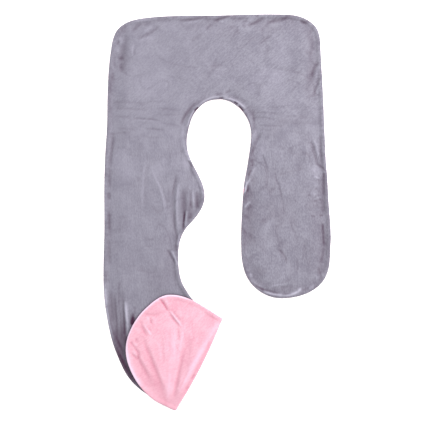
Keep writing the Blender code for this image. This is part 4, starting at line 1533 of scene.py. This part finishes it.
    def _shade_and_highlight(self, lie: Lie, side: Side) -> np.ndarray:
        """How much painted shade or painted highlight the pile gets: the sum of everything that raises or
        lowers the face, each with its share, and of the painted shadows and highlight at the borders.

        Args:
            lie: how the cut's points lie.
            side: which panel it is.

        Returns:
            For each grid point, from -1 in the deepest crease to 1 on the sharpest ridge.
        """
        plan = lie.plan()
        front = side is Side.FRONT
        height = self.fold_share * relief(plan, FRONT_FOLDS if front else FLAP_FOLDS)
        height += relief(plan, FRONT_CREASES if front else FLAP_CREASES)
        height += relief(plan, FRONT_TONES if front else FLAP_TONES)
        height += self.wrinkle_share * self._wrinkles(plan, side) + self._seam_relief()
        height += self.lump_share * self._ruffled(plan) * crumpled(plan, CRUMPLES)
        share = height / self.full_crease + (self._leg_borders(lie) if front else self._flap_rim_highlight(plan))
        return (lie.on_leg if front else lie.on_flap) * np.clip(share, -1.0, 1.0)

    def _leg_borders(self, lie: Lie) -> np.ndarray:
        """How much painted shade the front panel gets along its borders: painted shadow beside the flap's
        edge, and painted shade on the right leg.

        Args:
            lie: how the cut's points lie.

        Returns:
            A shade for each grid point, below 0 where it is dark.
        """
        plan = lie.plan()
        edge = plan[:, 0][lie.on_flap[:, 0] == 1][::2]
        columns = plan.transpose(1, 0, 2)
        from_flap = np.stack([distance_to_line(column, edge, False) for column in columns], axis=1)
        return -self._flap_shadow(plan, from_flap) - self._right_border(plan)

    def _flap_shadow(self, plan: np.ndarray, from_flap: np.ndarray) -> np.ndarray:
        """How much painted shadow the leg gets beside the flap: a streaky strip along the lower left edge,
        paler at the seam and next to the flap, and a painted contact shadow, a bell curve across the rest of
        the flap's edge, where it lies on the leg.

        Args:
            plan: the laid points, seen from above.
            from_flap: how far each is from the flap's edge.

        Returns:
            A shade for each point, above 0 where it is dark.
        """
        inside = smooth_step(self.grid.depth / self.beside_full)
        at_seam = self.beside_at_seam + (1 - self.beside_at_seam) * inside
        low = smooth_step((self.beside_pale_top - plan[..., 1]) / self.beside_pale_grows)
        clear = 1 - self.beside_pale * smooth_step(1 - from_flap / self.beside_pale_width) * low
        dark = self.beside_share * at_seam * clear + self.beside_streaks.at(plan)
        contact = self.contact_shade * np.exp(-((from_flap / self.contact_width) ** 2))
        strip = self.crease.flap_shadow_strip(plan)
        return dark * strip + contact * (1 - strip)

    def _right_border(self, plan: np.ndarray) -> np.ndarray:
        """How much painted shade the right leg's border gets: a mottled line and a darker edge, each a bell
        curve across it.

        Args:
            plan: the laid points, seen from above.

        Returns:
            A shade for each point, above 0 where it is dark.
        """
        right = smooth_step((plan[..., 0] - self.border_from[0]) / self.border_grows[0])
        low = smooth_step((self.border_from[1] - plan[..., 1]) / self.border_grows[1])
        mottled = self.border_mean + self.border_mottle.at(plan)
        line = mottled * self.border_shade * self._bell(self.border_shade_in, self.border_shade_width)
        edge = self.border_edge * self._bell(self.border_edge_in, self.border_edge_width)
        return right * low * (line + edge)

    def _flap_rim_highlight(self, plan: np.ndarray) -> np.ndarray:
        """How much painted highlight the back panel gets at the flap's edge where it lies on the leg: a bell
        curve across it.

        Args:
            plan: the laid points, seen from above.

        Returns:
            A value for each point, above 0 where the painted highlight is.
        """
        left = smooth_step((self.flap_rim_right - plan[..., 0]) / self.flap_rim_fades)
        above = smooth_step((plan[..., 1] - self.flap_rim_low) / self.flap_rim_fades)
        low = smooth_step((self.flap_rim_grows_at - plan[..., 1]) / self.flap_rim_grows_over)
        width = self.flap_rim_width * (1 + self.flap_rim_grows * low)
        return self.flap_rim_highlight * self._bell(self.flap_rim_in, width) * left * above

    def _bell(self, inside: float, width: float | np.ndarray) -> np.ndarray:
        """A bell curve across the border: 1 at a distance inside the seam, and lower to both its sides."""
        return np.exp(-(((self.grid.depth - inside) / width) ** 2))

    def _mesh(
        self, name: str, side: Side, inner: np.ndarray, outer: np.ndarray, painted_shading: np.ndarray
    ) -> bpy.types.Mesh:
        """Makes a panel's closed mesh.

        Its outer face has every row and column of the grid, and its inner face, which nobody sees, fewer.
        They share the seam's points.

        Args:
            name: the mesh's name.
            side: which panel it is.
            inner: the inner face's point for each grid point.
            outer: the outer face's point for each grid point.
            painted_shading: the painted shade or highlight of each grid point, from the deepest crease to the
                sharpest ridge.

        Returns:
            The mesh, whose UV map is the flat cut, with a mark of each kind on every vertex.
        """
        grid = self.grid
        coarse = grid.coarse_columns()
        shown = self._numbers(grid.spine_rows, grid.points.shape[1], 0)
        hidden = self._numbers(grid.spine_rows[::2], len(coarse) - 1, shown.max() + 1)
        down = [grid.faces(hidden), grid.seam_faces(shown[:, 0], hidden[:, 0])]
        faces = np.concatenate([grid.faces(shown), np.concatenate(down)[:, ::-1]])
        if side is Side.BACK:
            faces = faces[:, ::-1]
        marks = [painted_shading, grid.depth, self._head_share(grid.points), self._ruffled(grid.points)]
        facts = np.concatenate([grid.points, np.stack(marks, axis=-1)], axis=-1)
        # a row for each vertex: where it lies, where it is on the flat cut, and its marks
        table = np.zeros((hidden.max() + 1, outer.shape[-1] + facts.shape[-1]))
        table[shown] = np.concatenate([outer, facts], axis=-1)
        table[hidden] = np.concatenate([inner, facts], axis=-1)[::2, coarse[1:]]
        used, faces = np.unique(faces, return_inverse=True)
        faces = faces.reshape(-1, 3)
        places, cut, marked = np.split(table[used], (3, 5), axis=1)

        mesh = bpy.data.meshes.new(name)
        mesh.from_pydata(places.tolist(), [], faces.tolist())
        uv = mesh.uv_layers.new(name=CUT_UV)
        uv.data.foreach_set("uv", ((cut[faces.ravel()] - UV_CORNER) / UV_SPAN).astype(np.float32).ravel())
        for mark, values in zip(MARKS, marked.T):
            layer = mesh.attributes.new(mark, "FLOAT", "POINT")
            layer.data.foreach_set("value", values.astype(np.float32))
        mesh.shade_smooth()
        return mesh

    def _add_panel(self, side: Side, inner: np.ndarray, outer: np.ndarray, painted_shading: np.ndarray) -> None:
        """Makes a panel and ties it to the frame.

        Args:
            side: which panel it is.
            inner: the inner face's point for each grid point.
            outer: the outer face's point for each grid point.
            painted_shading: the painted shade or highlight of each grid point, from the deepest crease to the
                sharpest ridge.
        """
        name, slot, velour = {
            Side.FRONT: ("front_panel", "grey_velour", GREY_VELOUR),
            Side.BACK: ("back_panel", "pink_velour", PINK_VELOUR),
        }[side]
        grid = self.grid
        mesh = self._mesh(f"velour_{name}", side, inner, outer, painted_shading)
        mesh.materials.append(velour.material())
        panel = bpy.data.objects.new(f"velour_{name}", mesh)
        bpy.context.scene.collection.objects.link(panel)
        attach(panel, "root")
        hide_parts(name)
        grid.size()
        grid.area()
        log.info("%s: %d triangles, %.3f square metres as cut", panel.name, len(mesh.polygons), grid.area())

    @staticmethod
    def _numbers(spine_rows: np.ndarray, columns: int, first: int) -> np.ndarray:
        """Numbers the vertices of rows by columns. Rows that look to one spine point share it.

        Args:
            spine_rows: which spine point each row ends at.
            columns: how many vertices a row has.
            first: the lowest number.

        Returns:
            The number of each vertex, rows by columns.
        """
        rows, plain = len(spine_rows), columns - 1
        numbers = np.zeros((rows, columns), int)
        numbers[:, :-1] = first + np.arange(rows)[:, None] * plain + np.arange(plain)
        numbers[:, -1] = first + rows * plain + spine_rows
        return numbers


# ---------------------------------------------------------------------------------------------------------
# The studio
# ---------------------------------------------------------------------------------------------------------


@dataclass(frozen=True)
class SoftLight:
    """A square lamp with a diffuser: its side in metres, its power in watts, where it is, and its colour."""

    name: str
    side: float
    power: float
    place: tuple[float, float, float]
    colour: str

    def build(self, target: Vector) -> None:
        """Hangs the lamp and turns it to the target.

        Args:
            target: where it shines.
        """
        lamp = bpy.data.lights.new(self.name, "AREA")
        lamp.shape, lamp.size, lamp.energy = "SQUARE", self.side, self.power
        lamp.color = linear(self.colour)[:3]
        hung = bpy.data.objects.new(self.name, lamp)
        hung.location = self.place
        hung.rotation_euler = (target - hung.location).to_track_quat("-Z", "Y").to_euler()
        bpy.context.scene.collection.objects.link(hung)


@dataclass(frozen=True)
class Studio:
    """A white floor, soft light from the upper right and from all round, and a camera straight above."""

    middle: tuple[float, float] = (-6.3 * MM, -8.1 * MM)  # of the picture
    picture_width: float = 1.3219
    cloth_height: float = 0.010  # where the picture has that width
    lens: float = 85.0
    sensor: float = 36.0
    clip: tuple[float, float] = (0.1, 50.0)
    floor_side: float = 9.0
    floor_drop: float = 0.4 * MM
    paper: str = "#f6f6f6"
    glow: float = 0.2  # how much light comes through the paper, so that no grey shadow is left on it
    white: str = "#ffffff"  # the colour of that light and of the daylight
    daylight: float = 1.28
    lights: tuple[SoftLight, ...] = (
        SoftLight("key_light", 2.0, 265.0, (3.0, 1.95, 2.7), "#fffdfa"),
        SoftLight("head_light", 2.6, 46.0, (-0.8, 2.4, 2.9), "#fbfbff"),
    )

    def build(self) -> None:
        """Sets up the floor, the lights, the camera and plain colours."""
        half = self.floor_side / 2
        corners = [(-half, -half), (half, -half), (half, half), (-half, half)]
        mesh = bpy.data.meshes.new("floor")
        mesh.from_pydata([(x, y, -self.floor_drop) for x, y in corners], [], [(0, 1, 2, 3)])
        mesh.materials.append(self._paper())
        floor = bpy.data.objects.new("floor", mesh)
        bpy.context.scene.collection.objects.link(floor)
        for light in self.lights:
            light.build(Vector((*self.middle, 0.0)))
        world = bpy.data.worlds.new("daylight")
        world.use_nodes = True
        sky = world.node_tree.nodes["Background"]
        sky.inputs["Color"].default_value = linear(self.white)
        sky.inputs["Strength"].default_value = self.daylight
        bpy.context.scene.world = world
        bpy.context.scene.view_settings.view_transform = "Standard"
        self._camera()
        log.info("studio: floor, %d lights, camera", len(self.lights))

    def _paper(self) -> bpy.types.Material:
        """Matt white background paper, lit a little through its back.

        Returns:
            Its material.
        """
        paper = bpy.data.materials.new("white background paper")
        paper.use_nodes = True
        shader = paper.node_tree.nodes["Principled BSDF"]
        shader.inputs["Base Color"].default_value = linear(self.paper)
        shader.inputs["Emission Color"].default_value = linear(self.white)
        shader.inputs["Emission Strength"].default_value = self.glow
        shader.inputs["Roughness"].default_value = 1.0
        shader.inputs["Specular IOR Level"].default_value = 0.0
        return paper

    def _camera(self) -> None:
        """Hangs the camera so that the cloth's picture has its width: that times lens over sensor above."""
        camera = bpy.data.cameras.new("camera")
        camera.lens, camera.sensor_width = self.lens, self.sensor
        camera.clip_start, camera.clip_end = self.clip
        hung = bpy.data.objects.new("camera", camera)
        hung.location = (*self.middle, self.cloth_height + self.picture_width * self.lens / self.sensor)
        bpy.context.scene.collection.objects.link(hung)
        bpy.context.scene.camera = hung


def main() -> None:
    """Builds the cover and the studio."""
    logging.basicConfig(level=logging.INFO, format="%(name)s: %(message)s")
    Cover(CutGrid(), Crease()).build()
    Studio().build()


if __name__ == "__main__":
    main()
